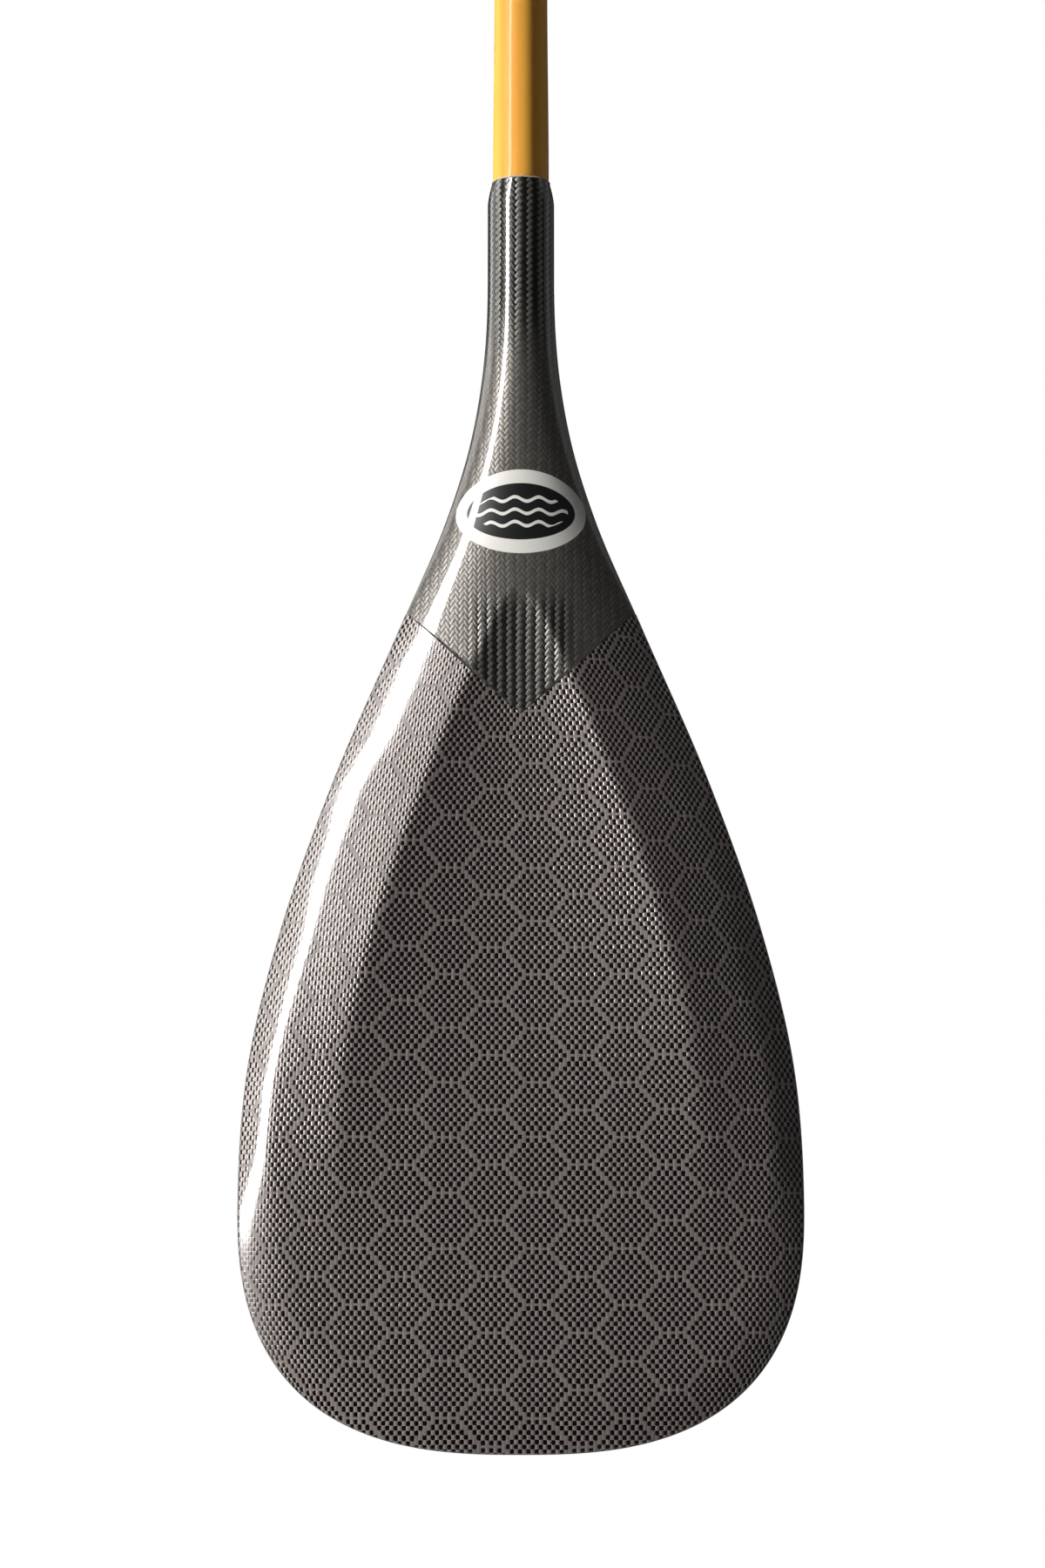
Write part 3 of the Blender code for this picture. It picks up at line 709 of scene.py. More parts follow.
def ramp(tree, value, low, high, to_low=0.0, to_high=1.0):
    """A value carried from one range into another with an ease, and held at the ends."""
    sockets = {"Value": value, "From Min": low, "From Max": high, "To Min": to_low, "To Max": to_high}
    return add_node(tree, "ShaderNodeMapRange", sockets, interpolation_type="SMOOTHSTEP").outputs["Result"]


def by_mask(tree, mask, bare, full):
    """One value where a mask is 0 and another where it is 1."""
    return ramp(tree, mask, 0.0, 1.0, bare, full)


def blend_colour(tree, share, first, second):
    """One colour laid over another by a share."""
    node = add_node(tree, "ShaderNodeMix", data_type="RGBA")
    feed(tree, share, node.inputs["Factor"])
    feed(tree, first, node.inputs[6])
    feed(tree, second, node.inputs[7])
    return node.outputs[2]


def blend_value(tree, share, first, second):
    """One value laid over another by a share."""
    return add_node(tree, "ShaderNodeMix", {"Factor": share, 2: first, 3: second}).outputs[0]


def vector_calc(tree, operation, sockets):
    """The result of one Vector Math node."""
    return add_node(tree, "ShaderNodeVectorMath", sockets, operation=operation).outputs[0]


def scale_vector(tree, vector, factor):
    """A vector or a colour made larger or smaller as a whole."""
    return vector_calc(tree, "SCALE", {0: vector, "Scale": factor})


def parts_of(tree, vector):
    """The X, Y and Z of a vector."""
    return add_node(tree, "ShaderNodeSeparateXYZ", {0: vector}).outputs


def object_place(tree):
    """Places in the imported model's frame, which every piece shares at rest."""
    return add_node(tree, "ShaderNodeTexCoord").outputs["Object"]


def noise(tree, place, scale, detail):
    """A noise texture's outputs."""
    return add_node(tree, "ShaderNodeTexNoise", {"Vector": place, "Scale": scale, "Detail": detail}).outputs


def start_group(name, inputs, outputs):
    """A shader node group with named sockets; returns the tree and its inner ends."""
    group = bpy.data.node_groups.new(name, "ShaderNodeTree")
    for label, kind, value in inputs:
        socket = group.interface.new_socket(label, in_out="INPUT", socket_type=kind)
        if value is not None:
            socket.default_value = value
    for label, kind in outputs:
        group.interface.new_socket(label, in_out="OUTPUT", socket_type=kind)
    given = group.nodes.new("NodeGroupInput").outputs
    result = group.nodes.new("NodeGroupOutput").inputs
    return group, given, result


def place_group(tree, group, sockets):
    """Place a node group in a material with its own values."""
    node = tree.nodes.new("ShaderNodeGroup")
    node.node_tree = group
    for socket, value in sockets.items():
        feed(tree, value, node.inputs[socket])
    return node.outputs


def crown(tree, offset):
    """A round crown across a tow: 1 on its middle and 0 at offset plus or minus a half."""
    doubled = times(tree, offset, 2.0)
    return minus(tree, 1.0, times(tree, doubled, doubled))


def cloth_drift_group():
    """Cloth places that wander a little, as hand-laid cloth does, split into across and along."""
    tree, given, result = start_group(
        "cloth drift",
        [("Cloth", VECTOR, None), ("Drift", FLOAT, 0.0003)],
        [("Across", FLOAT), ("Along", FLOAT)],
    )
    wander = noise(tree, given["Cloth"], 22.0, 1.0)["Color"]
    shift = vector_calc(tree, "SUBTRACT", {0: wander, 1: (0.5, 0.5, 0.5)})
    moved = vector_calc(tree, "ADD", {0: given["Cloth"], 1: scale_vector(tree, shift, given["Drift"])})
    parts = parts_of(tree, moved)
    tree.links.new(parts["X"], result["Across"])
    tree.links.new(parts["Y"], result["Along"])
    return tree


def crowded_row(tree, column, row):
    """Rows drawn a little to the plain row between two hexagons, where nothing holds them apart."""
    out = calc(tree, "PINGPONG", row, HALF_PICKS)
    reach = plus(tree, calc(tree, "PINGPONG", column, HALF_TOWS), out)
    inside = calc(tree, "LESS_THAN", reach, HEXAGON_EDGE)
    away = minus(tree, times(tree, inside, 2.0), 1.0)
    half_repeat = calc(tree, "FLOOR", calc(tree, "DIVIDE", row, HALF_PICKS))
    is_second_half = calc(tree, "PINGPONG", half_repeat, 1.0)
    rising = minus(tree, 1.0, times(tree, is_second_half, 2.0))
    from_middle = blend_value(tree, inside, minus(tree, HALF_PICKS, out), out)
    drawn = ramp(tree, from_middle, *ROW_DRAW_START, 0.0, ROW_DRAW)
    moved = times(tree, drawn, ramp(tree, from_middle, *ROW_DRAW_END))
    direction = times(tree, away, rising)
    return minus(tree, row, times(tree, moved, direction))


def dot_share(tree, offset, tightness):
    """How far a place lies from a dot's middle in one direction, for a squarish oval."""
    distance = times(tree, calc(tree, "ABSOLUTE", offset), tightness)
    return calc(tree, "POWER", distance, DOT_SQUARENESS)


def honeycomb_group():
    """Weave with floats that draw flat-topped hexagons: grey warp, with dark weft dots inside.

    Hexagons repeat every 22 tows and 12 picks, with one more at the middle of each such block.
    """
    tree, given, result = start_group(
        "honeycomb weave",
        [
            ("Across", FLOAT, 0.0),
            ("Along", FLOAT, 0.0),
            ("Tow Pitch", FLOAT, TOW_PITCH),
            ("Pick Pitch", FLOAT, PICK_PITCH),
        ],
        [("Weft", FLOAT), ("Bead", FLOAT), ("Dive", FLOAT), ("Height", FLOAT), ("Tow", FLOAT)],
    )
    column = calc(tree, "DIVIDE", given["Across"], given["Tow Pitch"])
    row = crowded_row(tree, column, calc(tree, "DIVIDE", given["Along"], given["Pick Pitch"]))
    tow, pick = calc(tree, "ROUND", column), calc(tree, "ROUND", row)
    off_tow, off_pick = minus(tree, column, tow), minus(tree, row, pick)
    tows_out = calc(tree, "PINGPONG", tow, HALF_TOWS)
    picks_out = calc(tree, "PINGPONG", pick, HALF_PICKS)
    reach = plus(tree, tows_out, picks_out)
    first_row = calc(tree, "LESS_THAN", picks_out, 0.5)
    last_row = calc(tree, "GREATER_THAN", picks_out, HALF_PICKS - 0.5)
    here = calc(tree, "LESS_THAN", reach, HEXAGON_EDGE - 1.0)
    here = times(tree, here, minus(tree, 1.0, last_row))
    beside = calc(tree, "GREATER_THAN", reach, HEXAGON_EDGE + 1.0)
    beside = times(tree, beside, minus(tree, 1.0, first_row))
    odd = calc(tree, "PINGPONG", plus(tree, tow, pick), 1.0)
    even = minus(tree, 1.0, odd)
    dotted = plus(tree, times(tree, here, odd), times(tree, beside, even))
    wide = dot_share(tree, off_tow, DOT_TIGHTNESS[0])
    tall = dot_share(tree, off_pick, DOT_TIGHTNESS[1])
    oval = plus(tree, wide, tall)
    weft = times(tree, dotted, ramp(tree, oval, *DOT_BORDER))
    woven = plus(tree, here, beside)
    bead = minus(tree, woven, dotted)
    dive = times(tree, bead, ramp(tree, oval, *DIVE_BORDER))
    middle_here = times(tree, here, first_row)
    middle_row = plus(tree, middle_here, times(tree, beside, last_row))
    proud = plus(tree, times(tree, middle_row, MIDDLE_EXTRA), FLOAT_HEIGHT)
    tow_crown, pick_crown = crown(tree, off_tow), crown(tree, off_pick)
    pick_top = calc(tree, "MINIMUM", times(tree, pick_crown, PICK_FLATNESS), 1.0)
    arch = blend_value(tree, woven, PLAIN_HEIGHT, times(tree, pick_top, proud))
    warp_height = times(tree, tow_crown, arch)
    weft_height = times(tree, pick_top, times(tree, tow_crown, WEFT_HEIGHT))
    lift = blend_value(tree, weft, warp_height, weft_height)
    for label, value in (("Weft", weft), ("Bead", bead), ("Dive", dive), ("Height", lift), ("Tow", tow)):
        tree.links.new(value, result[label])
    return tree


def float_height(tree, over, offset):
    """Relief of one tow direction: crowned across, and down to nothing where it goes under."""
    standing = minus(tree, 1.0, times(tree, over, over))
    arched = calc(tree, "POWER", calc(tree, "MAXIMUM", standing, 0.0), 0.5)
    return times(tree, crown(tree, offset), arched)


def twill_group():
    """Two-by-two twill laid at 45 degrees, so that its diagonals run down the cloth."""
    tree, given, result = start_group(
        "bias twill",
        [("Across", FLOAT, 0.0), ("Along", FLOAT, 0.0), ("Tow Width", FLOAT, TWILL_TOW)],
        [("Painted Lit Tows", FLOAT), ("Height", FLOAT), ("Tow", FLOAT)],
    )
    scale = times(tree, given["Tow Width"], math.sqrt(2.0))
    falling = calc(tree, "DIVIDE", plus(tree, given["Across"], given["Along"]), scale)
    rising = calc(tree, "DIVIDE", minus(tree, given["Along"], given["Across"]), scale)
    tow, pick = calc(tree, "FLOOR", falling), calc(tree, "FLOOR", rising)
    off_tow = minus(tree, minus(tree, falling, tow), 0.5)
    off_pick = minus(tree, minus(tree, rising, pick), 0.5)
    over_tow = calc(tree, "PINGPONG", minus(tree, rising, tow), 2.0)
    from_pick = minus(tree, minus(tree, falling, pick), 3.0)
    over_pick = calc(tree, "PINGPONG", from_pick, 2.0)
    tow_height = float_height(tree, over_tow, off_tow)
    pick_height = float_height(tree, over_pick, off_pick)
    tree.links.new(calc(tree, "LESS_THAN", over_tow, 1.0), result["Painted Lit Tows"])
    tree.links.new(calc(tree, "MAXIMUM", tow_height, pick_height), result["Height"])
    tree.links.new(plus(tree, times(tree, tow, 7.0), pick), result["Tow"])
    return tree


def calm_twill_group():
    """How far the painted sheen of the two tow directions evens out, with their relief and finish: most on
    the flare, little in the tube and scoop.
    """
    tree, given, result = start_group("calm twill", [("Cloth", VECTOR, None)], [("Calm", FLOAT)])
    parts = parts_of(tree, given["Cloth"])
    below_tube = ramp(tree, parts["Y"], *TUBE_TO_FLARE)
    below_arch = ramp(tree, parts["Y"], *FLARE_TO_SCOOP)
    between_sides = ramp(tree, calc(tree, "ABSOLUTE", parts["Z"]), *FLARE_TO_SCOOP_SIDE)
    lost = times(tree, times(tree, below_arch, between_sides), CALM_LOST_IN_SCOOP)
    calm = times(tree, below_tube, minus(tree, CALM_ON_FLARE, lost))
    tree.links.new(calm, result["Calm"])
    return tree


def patina_group():
    """Slow unevenness in a moulded finish: colour tone, gloss and a faint ripple."""
    tree, given, result = start_group(
        "moulded finish",
        [
            ("Color", COLOUR, None),
            ("Unevenness", FLOAT, 0.1),
            ("Roughness", FLOAT, 0.3),
            ("Grain Scale", FLOAT, 60.0),
        ],
        [("Color", COLOUR), ("Roughness", FLOAT), ("Height", FLOAT)],
    )
    slow = noise(tree, object_place(tree), given["Grain Scale"], 3.0)[0]
    low = minus(tree, 1.0, given["Unevenness"])
    high = plus(tree, 1.0, given["Unevenness"])
    tone = ramp(tree, slow, 0.3, 0.7, low, high)
    tree.links.new(scale_vector(tree, given["Color"], tone), result["Color"])
    tree.links.new(times(tree, given["Roughness"], tone), result["Roughness"])
    tree.links.new(slow, result["Height"])
    return tree


def start_material(name, **settings):
    """A material with a Principled shader, whose plain values are set on its own sockets."""
    material = bpy.data.materials.new(name)
    material.use_nodes = True
    tree = material.node_tree
    shader = tree.nodes["Principled BSDF"]
    for socket, value in settings.items():
        shader.inputs[socket.replace("_", " ")].default_value = value
    return material, tree, shader


def feed_shader(tree, shader, colour, roughness, height, distance, metal=0.0):
    """Feed a shader with what changes over the surface; a height of 1 stands as high as distance."""
    bump = add_node(tree, "ShaderNodeBump", {"Strength": 1.0, "Distance": distance, "Height": height})
    feed(tree, colour, shader.inputs["Base Color"])
    feed(tree, roughness, shader.inputs["Roughness"])
    feed(tree, metal, shader.inputs["Metallic"])
    feed(tree, bump.outputs["Normal"], shader.inputs["Normal"])


def cloth_input(tree):
    """Places on the flat cloth, which the meshes carry."""
    return add_node(tree, "ShaderNodeAttribute", attribute_name="cloth").outputs["Vector"]


def tow_tone(tree, tow):
    """A tone of its own for each tow."""
    return add_node(tree, "ShaderNodeTexWhiteNoise", {"W": tow}, noise_dimensions="1D").outputs["Value"]


def honeycomb_material(groups):
    """Patterned carbon cloth of the blade under clear coat."""
    material, tree, shader = start_material(
        "honeycomb_carbon_clear_coat",
        Coat_Weight=1.0, Coat_Roughness=0.11, Coat_IOR=1.6, Specular_IOR_Level=0.5,
    )
    drift = place_group(tree, groups["drift"], {"Cloth": cloth_input(tree), "Drift": 0.0012})
    weave = place_group(tree, groups["honeycomb"], {
        "Across": minus(tree, drift["Across"], PATTERN_SHIFT[0]),
        "Along": minus(tree, drift["Along"], PATTERN_SHIFT[1]),
    })
    bead, weft = weave["Bead"], weave["Weft"]
    # The warp's grey is painted sheen over near-black carbon.
    warp = blend_colour(tree, tow_tone(tree, weave["Tow"]), *WARP_SHEEN_GREYS)
    # Painted shading: beads are lightened, partly as painted sheen, and darkened as painted shade where
    # they dive beside a dot.
    painted_shading = times(tree, by_mask(tree, bead, *WARP_BRIGHTNESS), by_mask(tree, weave["Dive"], *DIVE_SHADE))
    cloth = blend_colour(tree, weft, scale_vector(tree, warp, painted_shading), WEFT_GREY)
    metal = blend_value(tree, weft, by_mask(tree, bead, *WARP_METAL), WEFT_METAL)
    gloss = blend_value(tree, weft, by_mask(tree, bead, *WARP_ROUGHNESS), WEFT_ROUGHNESS)
    feed_shader(tree, shader, cloth, gloss, weave["Height"], HONEYCOMB_RELIEF, metal)
    return material


def badge_mask(tree, cloth, half_sizes):
    """1 inside an oval round the badge's middle."""
    parts = parts_of(tree, cloth)
    across = calc(tree, "DIVIDE", parts["Z"], half_sizes[0])
    along = calc(tree, "DIVIDE", minus(tree, parts["Y"], BADGE_DEPTH), half_sizes[1])
    squared = plus(tree, times(tree, across, across), times(tree, along, along))
    return ramp(tree, calc(tree, "SQRT", squared), 1.006, 0.994)


def wave_lines(tree, cloth):
    """Three plain wavy lines across the badge's field, shorter towards its top and bottom."""
    parts = parts_of(tree, cloth)
    turn = times(tree, parts["Z"], 2 * math.pi / WAVE_LENGTH)
    swing = times(tree, calc(tree, "SINE", turn), WAVE_SWING)
    level = minus(tree, minus(tree, parts["Y"], BADGE_DEPTH), swing)
    line = ramp(tree, calc(tree, "PINGPONG", level, WAVE_SPACING / 2), *WAVE_BORDER)
    return times(tree, line, badge_mask(tree, cloth, WAVE_FIELD))


def lay_badge(tree, cloth, colour, relief, fibre):
    """Lay the badge's film over the cloth: its own colours, and no relief or fibre sheen."""
    film = blend_colour(tree, badge_mask(tree, cloth, BADGE_FIELD), BADGE_WHITE, BADGE_BLACK)
    film = blend_colour(tree, wave_lines(tree, cloth), film, BADGE_WHITE)
    oval = badge_mask(tree, cloth, BADGE_RING)
    bare = minus(tree, 1.0, oval)
    colour = blend_colour(tree, oval, colour, film)
    return colour, times(tree, relief, bare), times(tree, fibre, bare)


def twill_material(groups, name, has_badge):
    """Bias twill of the neck and grip under clear coat, with or without the neck's badge."""
    material, tree, shader = start_material(
        name, Coat_Weight=1.0, Coat_Roughness=0.03, Coat_IOR=1.6, Specular_IOR_Level=0.6,
    )
    cloth = cloth_input(tree)
    drift = place_group(tree, groups["drift"], {"Cloth": cloth, "Drift": 0.0010})
    weave = place_group(tree, groups["twill"], {"Across": drift["Across"], "Along": drift["Along"]})
    calm = place_group(tree, groups["calm"], {"Cloth": cloth})["Calm"]
    tone, is_lit = tow_tone(tree, weave["Tow"]), weave["Painted Lit Tows"]
    # Painted sheen: one tow direction is painted lit and the other dim, and both even out to one grey where
    # the cloth is calm.
    even = blend_colour(tree, tone, *EVEN_SHEEN_TOWS)
    lit = blend_colour(tree, calm, blend_colour(tree, tone, *PAINTED_LIT_TOWS), even)
    dim = blend_colour(tree, calm, blend_colour(tree, tone, *PAINTED_DIM_TOWS), even)
    # Painted shade: the colour darkens where the weave sinks into its gaps.
    in_gap = ramp(tree, weave["Height"], 0.0, 0.5)
    painted_shading = calc(tree, "MAXIMUM", by_mask(tree, calm, *DEEPEST_PAINTED_GAP_SHADE), in_gap)
    colour = scale_vector(tree, blend_colour(tree, is_lit, dim, lit), painted_shading)
    relief = times(tree, weave["Height"], by_mask(tree, calm, *RELIEF_SHARE))
    fibre = blend_value(tree, calm, by_mask(tree, is_lit, *TOW_METAL), CALM_METAL)
    gloss = blend_value(tree, calm, by_mask(tree, is_lit, *TOW_ROUGHNESS), CALM_ROUGHNESS)
    if has_badge:
        colour, relief, fibre = lay_badge(tree, cloth, colour, relief, fibre)
    feed_shader(tree, shader, colour, gloss, relief, TWILL_RELIEF, fibre)
    return material


def amber_material(groups):
    """Streaked amber of the shaft under a thin clear coat."""
    material, tree, shader = start_material(
        "amber_clear_coat",
        Coat_Weight=0.22, Coat_Roughness=0.05, Coat_IOR=1.5, Diffuse_Roughness=1.0, Specular_IOR_Level=0.2,
    )
    drawn_out = {"Vector": object_place(tree), "Scale": (1.0, 1.0, STREAK_SLOWNESS)}
    stretched = add_node(tree, "ShaderNodeMapping", drawn_out).outputs[0]
    streak = noise(tree, stretched, 420.0, 3.0)[0]
    colour = blend_colour(tree, ramp(tree, streak, 0.3, 0.7), *AMBERS)
    finish = place_group(tree, groups["patina"], {
        "Color": colour, "Unevenness": 0.03, "Roughness": 0.42, "Grain Scale": 14.0,
    })
    feed_shader(tree, shader, finish["Color"], finish["Roughness"], streak, AMBER_RELIEF)
    return material


def plain_material(groups, name, colour, roughness, unevenness, grain_scale, relief):
    """A moulded or poured finish of one colour, a little uneven."""
    material, tree, shader = start_material(name)
    finish = place_group(tree, groups["patina"], {
        "Color": colour, "Unevenness": unevenness, "Roughness": roughness, "Grain Scale": grain_scale,
    })
    feed_shader(tree, shader, finish["Color"], finish["Roughness"], finish["Height"], relief)
    return material


# Pieces


def build_shaft(material):
    """The amber tube, which swells where it enters the neck."""
    taper = np.linspace(0.0, 1.0, SWELL_ROWS)
    radii = mix(SHAFT_FOOT_RADIUS, SHAFT_RADIUS, smooth(taper))
    swell = list(zip(radii, RIM_Z + SHAFT_FOOT_TAPER * taper))
    outer = [(SHAFT_FOOT_RADIUS, SHAFT_FOOT_Z)] + swell + [(SHAFT_RADIUS, SHAFT_TOP_Z)]
    bore = [(SHAFT_BORE_RADIUS, SHAFT_TOP_Z), (SHAFT_BORE_RADIUS, SHAFT_FOOT_Z)]
    tube = turned_mesh("amber_shaft", outer + bore)
    add_piece("amber_shaft", tube, material, "shaft_tube")


def glue_profile(inner, outer, deep_z, rim_z, up):
    """The bond in the socket, ending in a small rounded fillet that stands on the rim."""
    fillet = [(inner, rim_z + up * BEAD_RISE)]
    for turn in np.linspace(BEAD_FIRST_TURN, 1.0, BEAD_STEPS):
        height = mix(BEAD_RISE, BEAD_FOOT, turn ** BEAD_POWER)
        fillet.append((inner + BEAD_WIDTH * turn, rim_z + up * height))
    return [(inner, deep_z)] + fillet + [(outer, rim_z + up * BEAD_FOOT), (outer, deep_z)]


def build_glue(material):
    """The two bonds, with the beads that show at the neck's rim and under the grip."""
    in_neck = SHAFT_FOOT_RADIUS + GLUE_PLAY
    in_grip = SHAFT_RADIUS + GLUE_PLAY
    grip_socket = GRIP_STEM_RADIUS - GRIP_WALL - SEAT_GAP
    neck_bond = glue_profile(in_neck, SHAFT_FOOT_RADIUS + GLUE_AT_RIM, SHAFT_FOOT_Z, RIM_Z, 1.0)
    grip_bond = glue_profile(in_grip, grip_socket, SHAFT_TOP_Z, GRIP_BASE_Z, -1.0)
    for name, profile, node in (
        ("neck_rim_bead", neck_bond, "blade_joint_glue"),
        ("grip_rim_bead", grip_bond, "grip_joint_glue"),
    ):
        add_piece(name, turned_mesh(name, profile), material, node)


def build_neck(badged, plain):
    """The twill half shells of the neck, down to the hem."""
    surface = faces_of(neck_grid(), False)
    drawn = mix(TUBE_CLOTH_STRETCH, 1.0, smooth(surface[1] / SCOOP_START))
    for name, node, is_scooped, material in (
        ("twill_neck_back", "neck_back_shell", True, badged),
        ("twill_neck_power", "neck_power_shell", False, plain),
    ):
        outer = face_points(surface, 0.0, is_scooped)
        cloth = cloth_places(outer, surface[0], surface[1], drawn, TWILL_SHIFT)
        mesh = shell_mesh(name, outer, face_points(surface, NECK_WALL, is_scooped), cloth)
        add_piece(name, mesh, material, node)


def build_blade(cloth_material, rail_material):
    """The patterned skins of the blade and the filled edge between them."""
    surface = faces_of(blade_grid(), True)
    for name, node, is_scooped in (
        ("blade_cloth_back", "blade_back_skin", True),
        ("blade_cloth_power", "blade_power_skin", False),
    ):
        outer = face_points(surface, 0.0, is_scooped)
        cloth = cloth_places(outer, surface[0], surface[1])
        mesh = shell_mesh(name, outer, face_points(surface, SKIN, is_scooped), cloth)
        add_piece(name, mesh, cloth_material, node)
    build_rail(rail_material)


def build_rail(material):
    """The filled edge between the skins: a strip with a rounded outer face."""
    path = blade_edge_path()
    path = path[path[:, 1] >= hem_side_depth() + HEM_GAP]
    path = np.concatenate([path, path[-2::-1] * (-1, 1)])
    along = np.gradient(path, axis=0)
    along /= np.linalg.norm(along, axis=1)[:, None]
    outward = np.stack([along[:, 1], -along[:, 0]], axis=1)
    half = (edge_height(path[:, 1]) - SKIN - RAIL_PLAY)[:, None]
    turns = np.linspace(-math.pi / 2, math.pi / 2, RAIL_STEPS)
    stand = RAIL_CROWN * np.cos(turns) - RAIL_SET_BACK
    reach = np.concatenate([[-RAIL_DEPTH], stand, [-RAIL_DEPTH]])
    height = half * np.concatenate([[-1.0], np.sin(turns), [1.0]])
    places = path[:, None, :] + outward[:, None, :] * reach[None, :, None]
    points = blade_points(places[..., 0], places[..., 1], height)
    index = np.arange(height.size).reshape(height.shape)
    beside = np.roll(index, -1, axis=1)
    sides = quads_of(index[:-1], beside[:-1], beside[1:], index[1:]).tolist()
    ends = [index[0].tolist(), index[-1, ::-1].tolist()]
    mesh = mesh_of("edge_strip", points.reshape(-1, 3), sides + ends)
    add_piece("edge_strip", mesh, material, "edge_rail")


def grip_side_path(inset):
    """Stem, fillet and underside of the bar, out to its end, drawn in by inset."""
    stem = GRIP_STEM_RADIUS - inset
    bar_middle = GRIP_HEIGHT - GRIP_BAR_HEIGHT / 2
    underside = GRIP_HEIGHT - GRIP_BAR_HEIGHT + inset
    centre = GRIP_STEM_RADIUS + GRIP_HEIGHT - GRIP_BAR_HEIGHT - GRIP_STEM_LENGTH
    rows = np.linspace(0.0, GRIP_STEM_LENGTH, GRIP_STEM_ROWS + 1)
    stem_points = np.stack([np.full_like(rows, stem), rows], 1)
    bends = quarter_turn(GRIP_FILLET_STEPS)[1:]
    fillet_across = centre - (centre - stem) * np.cos(bends)
    fillet_height = GRIP_STEM_LENGTH + (underside - GRIP_STEM_LENGTH) * np.sin(bends)
    turns = quarter_turn(GRIP_END_STEPS)[1:]
    out = np.sin(turns) ** (2 / GRIP_FULLNESS)
    down = np.maximum(np.cos(turns), 0.0) ** (2 / GRIP_FULLNESS)
    bar_across = centre + (GRIP_WIDTH / 2 - inset - centre) * out
    bar_height = bar_middle - (bar_middle - underside) * down
    fillet = np.stack([fillet_across, fillet_height], 1)
    return np.concatenate([stem_points, fillet, np.stack([bar_across, bar_height], 1)])


def grip_surface(inset):
    """Grid of places over the grip with the height of its faces, drawn in by inset."""
    side = grip_side_path(inset)
    shares = np.sin(np.arange(-GRIP_COLUMNS, GRIP_COLUMNS + 1) * math.pi / 2 / GRIP_COLUMNS)
    half = GRIP_WIDTH / 2 - inset
    end_height = side[-1, 1]
    crown_rise = GRIP_HEIGHT - inset - end_height

    def top_height(share):
        fallen = np.maximum(1.0 - np.abs(share) ** GRIP_FULLNESS, 0.0)
        return end_height + crown_rise * fallen ** (1 / GRIP_FULLNESS)

    along = np.linspace(0.0, 1.0, len(side))[:, None]
    across = side[:, :1] * shares[None, :]
    height = side[:, 1:] + along * (top_height(shares)[None, :] - end_height)
    top_shares = np.linspace(1.0, 0.0, PATH_STEPS)[1:]
    top = np.stack([top_shares * half, top_height(top_shares)], 1)
    distance = distance_to_path(across, height, np.concatenate([side, top]))
    distance[:, 0] = 0.0
    distance[:, -1] = 0.0
    distance[-1] = 0.0
    climb = eased(height, GRIP_STEM_LENGTH, GRIP_HEIGHT - GRIP_BAR_HEIGHT)
    half_thickness = mix(GRIP_STEM_RADIUS, GRIP_BAR_HALF_THICKNESS, climb) - inset
    bulge = np.maximum(half_thickness * quarter_round(distance / half_thickness), PARTING_GAP / 2)
    return across, height, bulge


def build_grip(material):
    """The two twill half shells of the T grip."""
    outer, inner = grip_surface(0.0), grip_surface(GRIP_WALL)

    def points(surface, is_scooped):
        across, height, bulge = surface
        return np.stack([across, -bulge if is_scooped else bulge, GRIP_BASE_Z + height], axis=-1)

    for name, node, is_scooped in (
        ("twill_grip_back", "grip_back_shell", True),
        ("twill_grip_power", "grip_power_shell", False),
    ):
        face = points(outer, is_scooped)
        cloth = cloth_places(face, outer[0], outer[1])
        mesh = shell_mesh(name, face, points(inner, is_scooped), cloth)
        add_piece(name, mesh, material, node)


def finish_hidden_nodes(frame, foam):
    """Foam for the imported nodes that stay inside."""
    for node in ("shaft_lower_plug", "shaft_upper_plug", "neck_core", "blade_core", "grip_core"):
        mesh = frame["nodes"][node].data
        mesh.materials.clear()
        mesh.materials.append(foam)


# Studio


def build_lights():
    """Each softbox of SOFTBOXES, hidden from the camera and turned to the shaft's axis."""
    for name, azimuth, distance, height, aim_height, width, length, radiance, tint, rays in SOFTBOXES:
        light = bpy.data.lights.new(name, "AREA")
        light.shape = "RECTANGLE"
        light.size = width
        light.size_y = length
        light.energy = radiance * math.pi * width * length
        light.color = tint
        angle = math.radians(azimuth)
        lamp = bpy.data.objects.new(name, light)
        lamp.location = (distance * math.sin(angle), -distance * math.cos(angle), height)
        towards = Vector((0.0, 0.0, aim_height)) - lamp.location
        lamp.rotation_euler = towards.to_track_quat("-Z", "Y").to_euler()
        lamp.visible_camera = False
        lamp.visible_diffuse = rays == "diffuse"
        lamp.visible_glossy = rays == "glossy"
        bpy.context.scene.collection.objects.link(lamp)


def build_room():
    """The world: white behind the paddle, faint and cool as a light on it."""
    world = bpy.data.worlds.new("studio_room")
    bpy.context.scene.world = world
    world.use_nodes = True
    tree = world.node_tree
    tree.nodes.clear()
    rays = add_node(tree, "ShaderNodeLightPath").outputs
    dim = add_node(tree, "ShaderNodeBackground", {"Color": ROOM_TINT, "Strength": ROOM_LIGHT})
    white = add_node(tree, "ShaderNodeBackground", {"Color": WHITE, "Strength": 1.0})
    mirrored = times(tree, rays["Is Glossy Ray"], ROOM_IN_GLOSS)
    direct = calc(tree, "MAXIMUM", rays["Is Camera Ray"], rays["Is Transmission Ray"])
    seen = calc(tree, "MAXIMUM", direct, mirrored)
    room = add_node(tree, "ShaderNodeMixShader", {0: seen, 1: dim.outputs[0], 2: white.outputs[0]})
    add_node(tree, "ShaderNodeOutputWorld", {"Surface": room.outputs[0]})


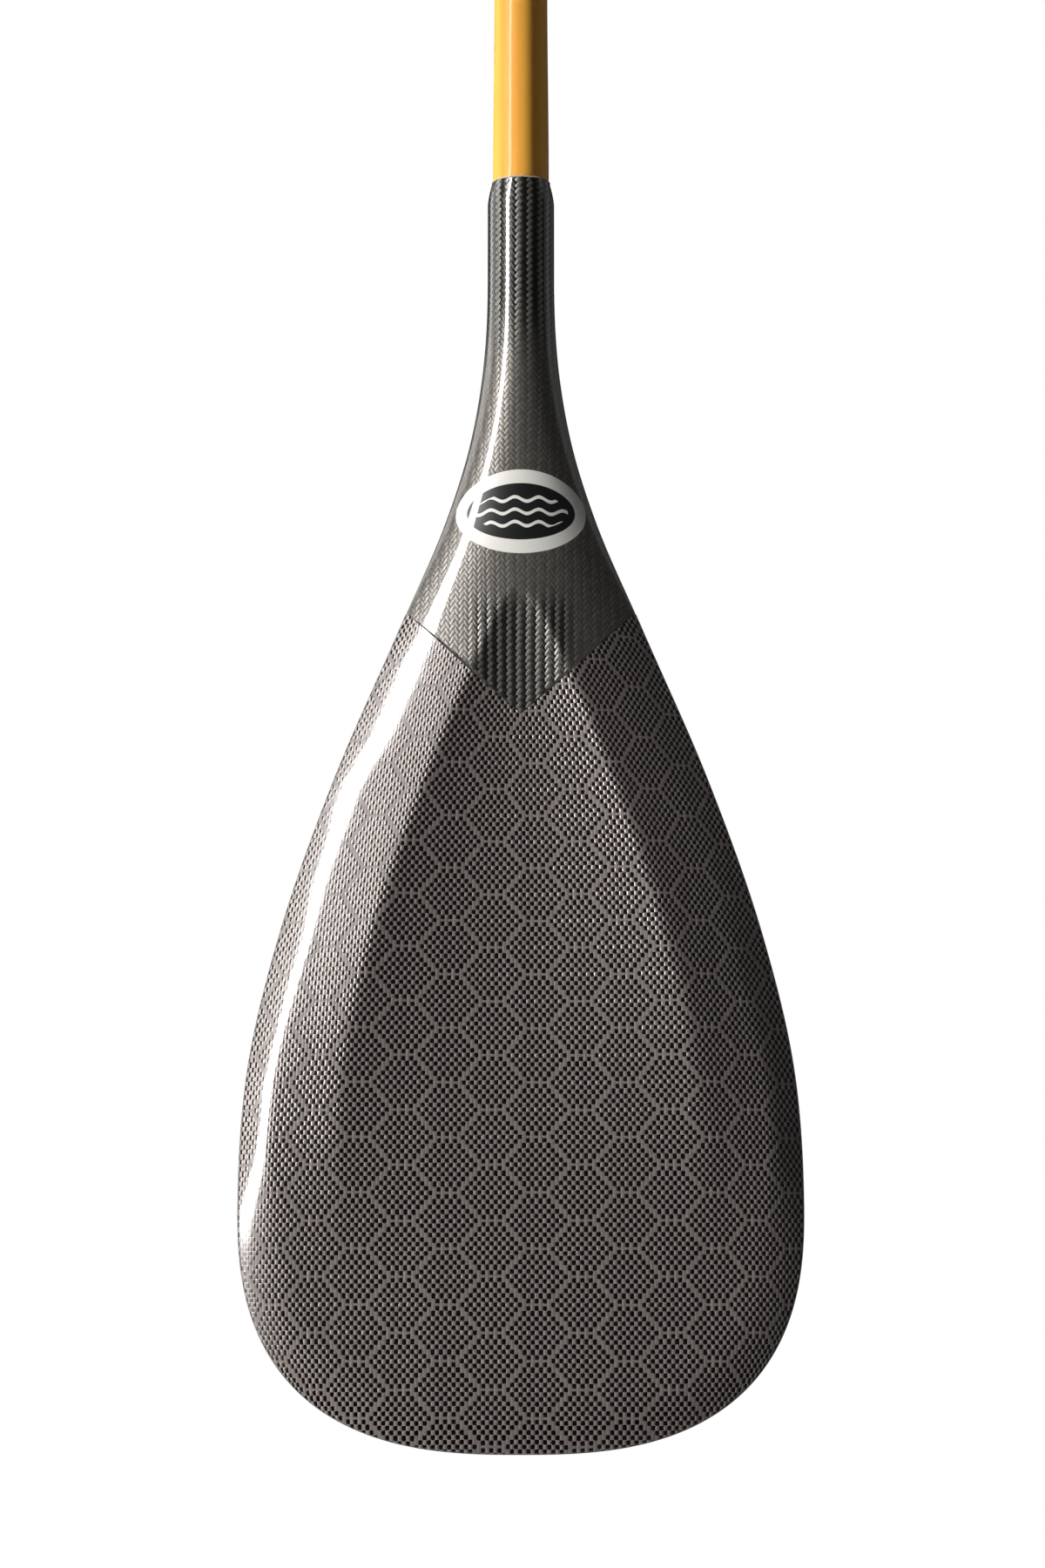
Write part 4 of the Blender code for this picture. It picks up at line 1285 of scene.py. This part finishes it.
def build_floor():
    """A plain pale floor below the paddle, white to the camera."""
    material = bpy.data.materials.new("pale_floor")
    material.use_nodes = True
    tree = material.node_tree
    tree.nodes.clear()
    rays = add_node(tree, "ShaderNodeLightPath").outputs
    pale = add_node(tree, "ShaderNodeBsdfDiffuse", {"Color": FLOOR_GREY}).outputs[0]
    white = add_node(tree, "ShaderNodeEmission", {"Color": WHITE, "Strength": 1.0}).outputs[0]
    both = add_node(tree, "ShaderNodeMixShader", {0: rays["Is Camera Ray"], 1: pale, 2: white})
    add_node(tree, "ShaderNodeOutputMaterial", {"Surface": both.outputs[0]})
    corners = [(-1, -1), (1, -1), (1, 1), (-1, 1)]
    points = [(x * FLOOR_REACH, y * FLOOR_REACH, FLOOR_LEVEL) for x, y in corners]
    mesh = bpy.data.meshes.new("floor")
    mesh.from_pydata(points, [], [(0, 1, 2, 3)])
    mesh.materials.append(material)
    floor = bpy.data.objects.new("floor", mesh)
    bpy.context.scene.collection.objects.link(floor)


def build_camera():
    """The photograph's view: level but for its small pitch, straight at the scooped face."""
    camera = bpy.data.cameras.new("camera")
    camera.lens = CAMERA_LENS
    camera.sensor_width = CAMERA_SENSOR
    camera.clip_start = CAMERA_NEAR
    holder = bpy.data.objects.new("camera", camera)
    holder.location = CAMERA_PLACE
    holder.rotation_euler = (CAMERA_TURN, 0.0, 0.0)
    bpy.context.scene.collection.objects.link(holder)
    bpy.context.scene.camera = holder


def main():
    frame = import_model()
    groups = {
        "drift": cloth_drift_group(),
        "honeycomb": honeycomb_group(),
        "twill": twill_group(),
        "calm": calm_twill_group(),
        "patina": patina_group(),
    }
    badged_twill = twill_material(groups, "twill_carbon_badged", True)
    plain_twill = twill_material(groups, "twill_carbon_clear_coat", False)
    resin = plain_material(
        groups, "black_edge_resin", EDGE_BLACK,
        roughness=0.38, unevenness=0.25, grain_scale=900.0, relief=0.00003,
    )
    glue = plain_material(
        groups, "cream_epoxy", GLUE_CREAM,
        roughness=0.45, unevenness=0.12, grain_scale=700.0, relief=0.00004,
    )
    foam = plain_material(
        groups, "closed_cell_foam", FOAM_CREAM,
        roughness=0.85, unevenness=0.10, grain_scale=1800.0, relief=0.0001,
    )
    build_shaft(amber_material(groups))
    build_glue(glue)
    build_neck(badged_twill, plain_twill)
    build_blade(honeycomb_material(groups), resin)
    build_grip(plain_twill)
    finish_hidden_nodes(frame, foam)
    build_lights()
    build_room()
    build_floor()
    build_camera()
    bpy.context.scene.view_settings.view_transform = "Standard"


main()
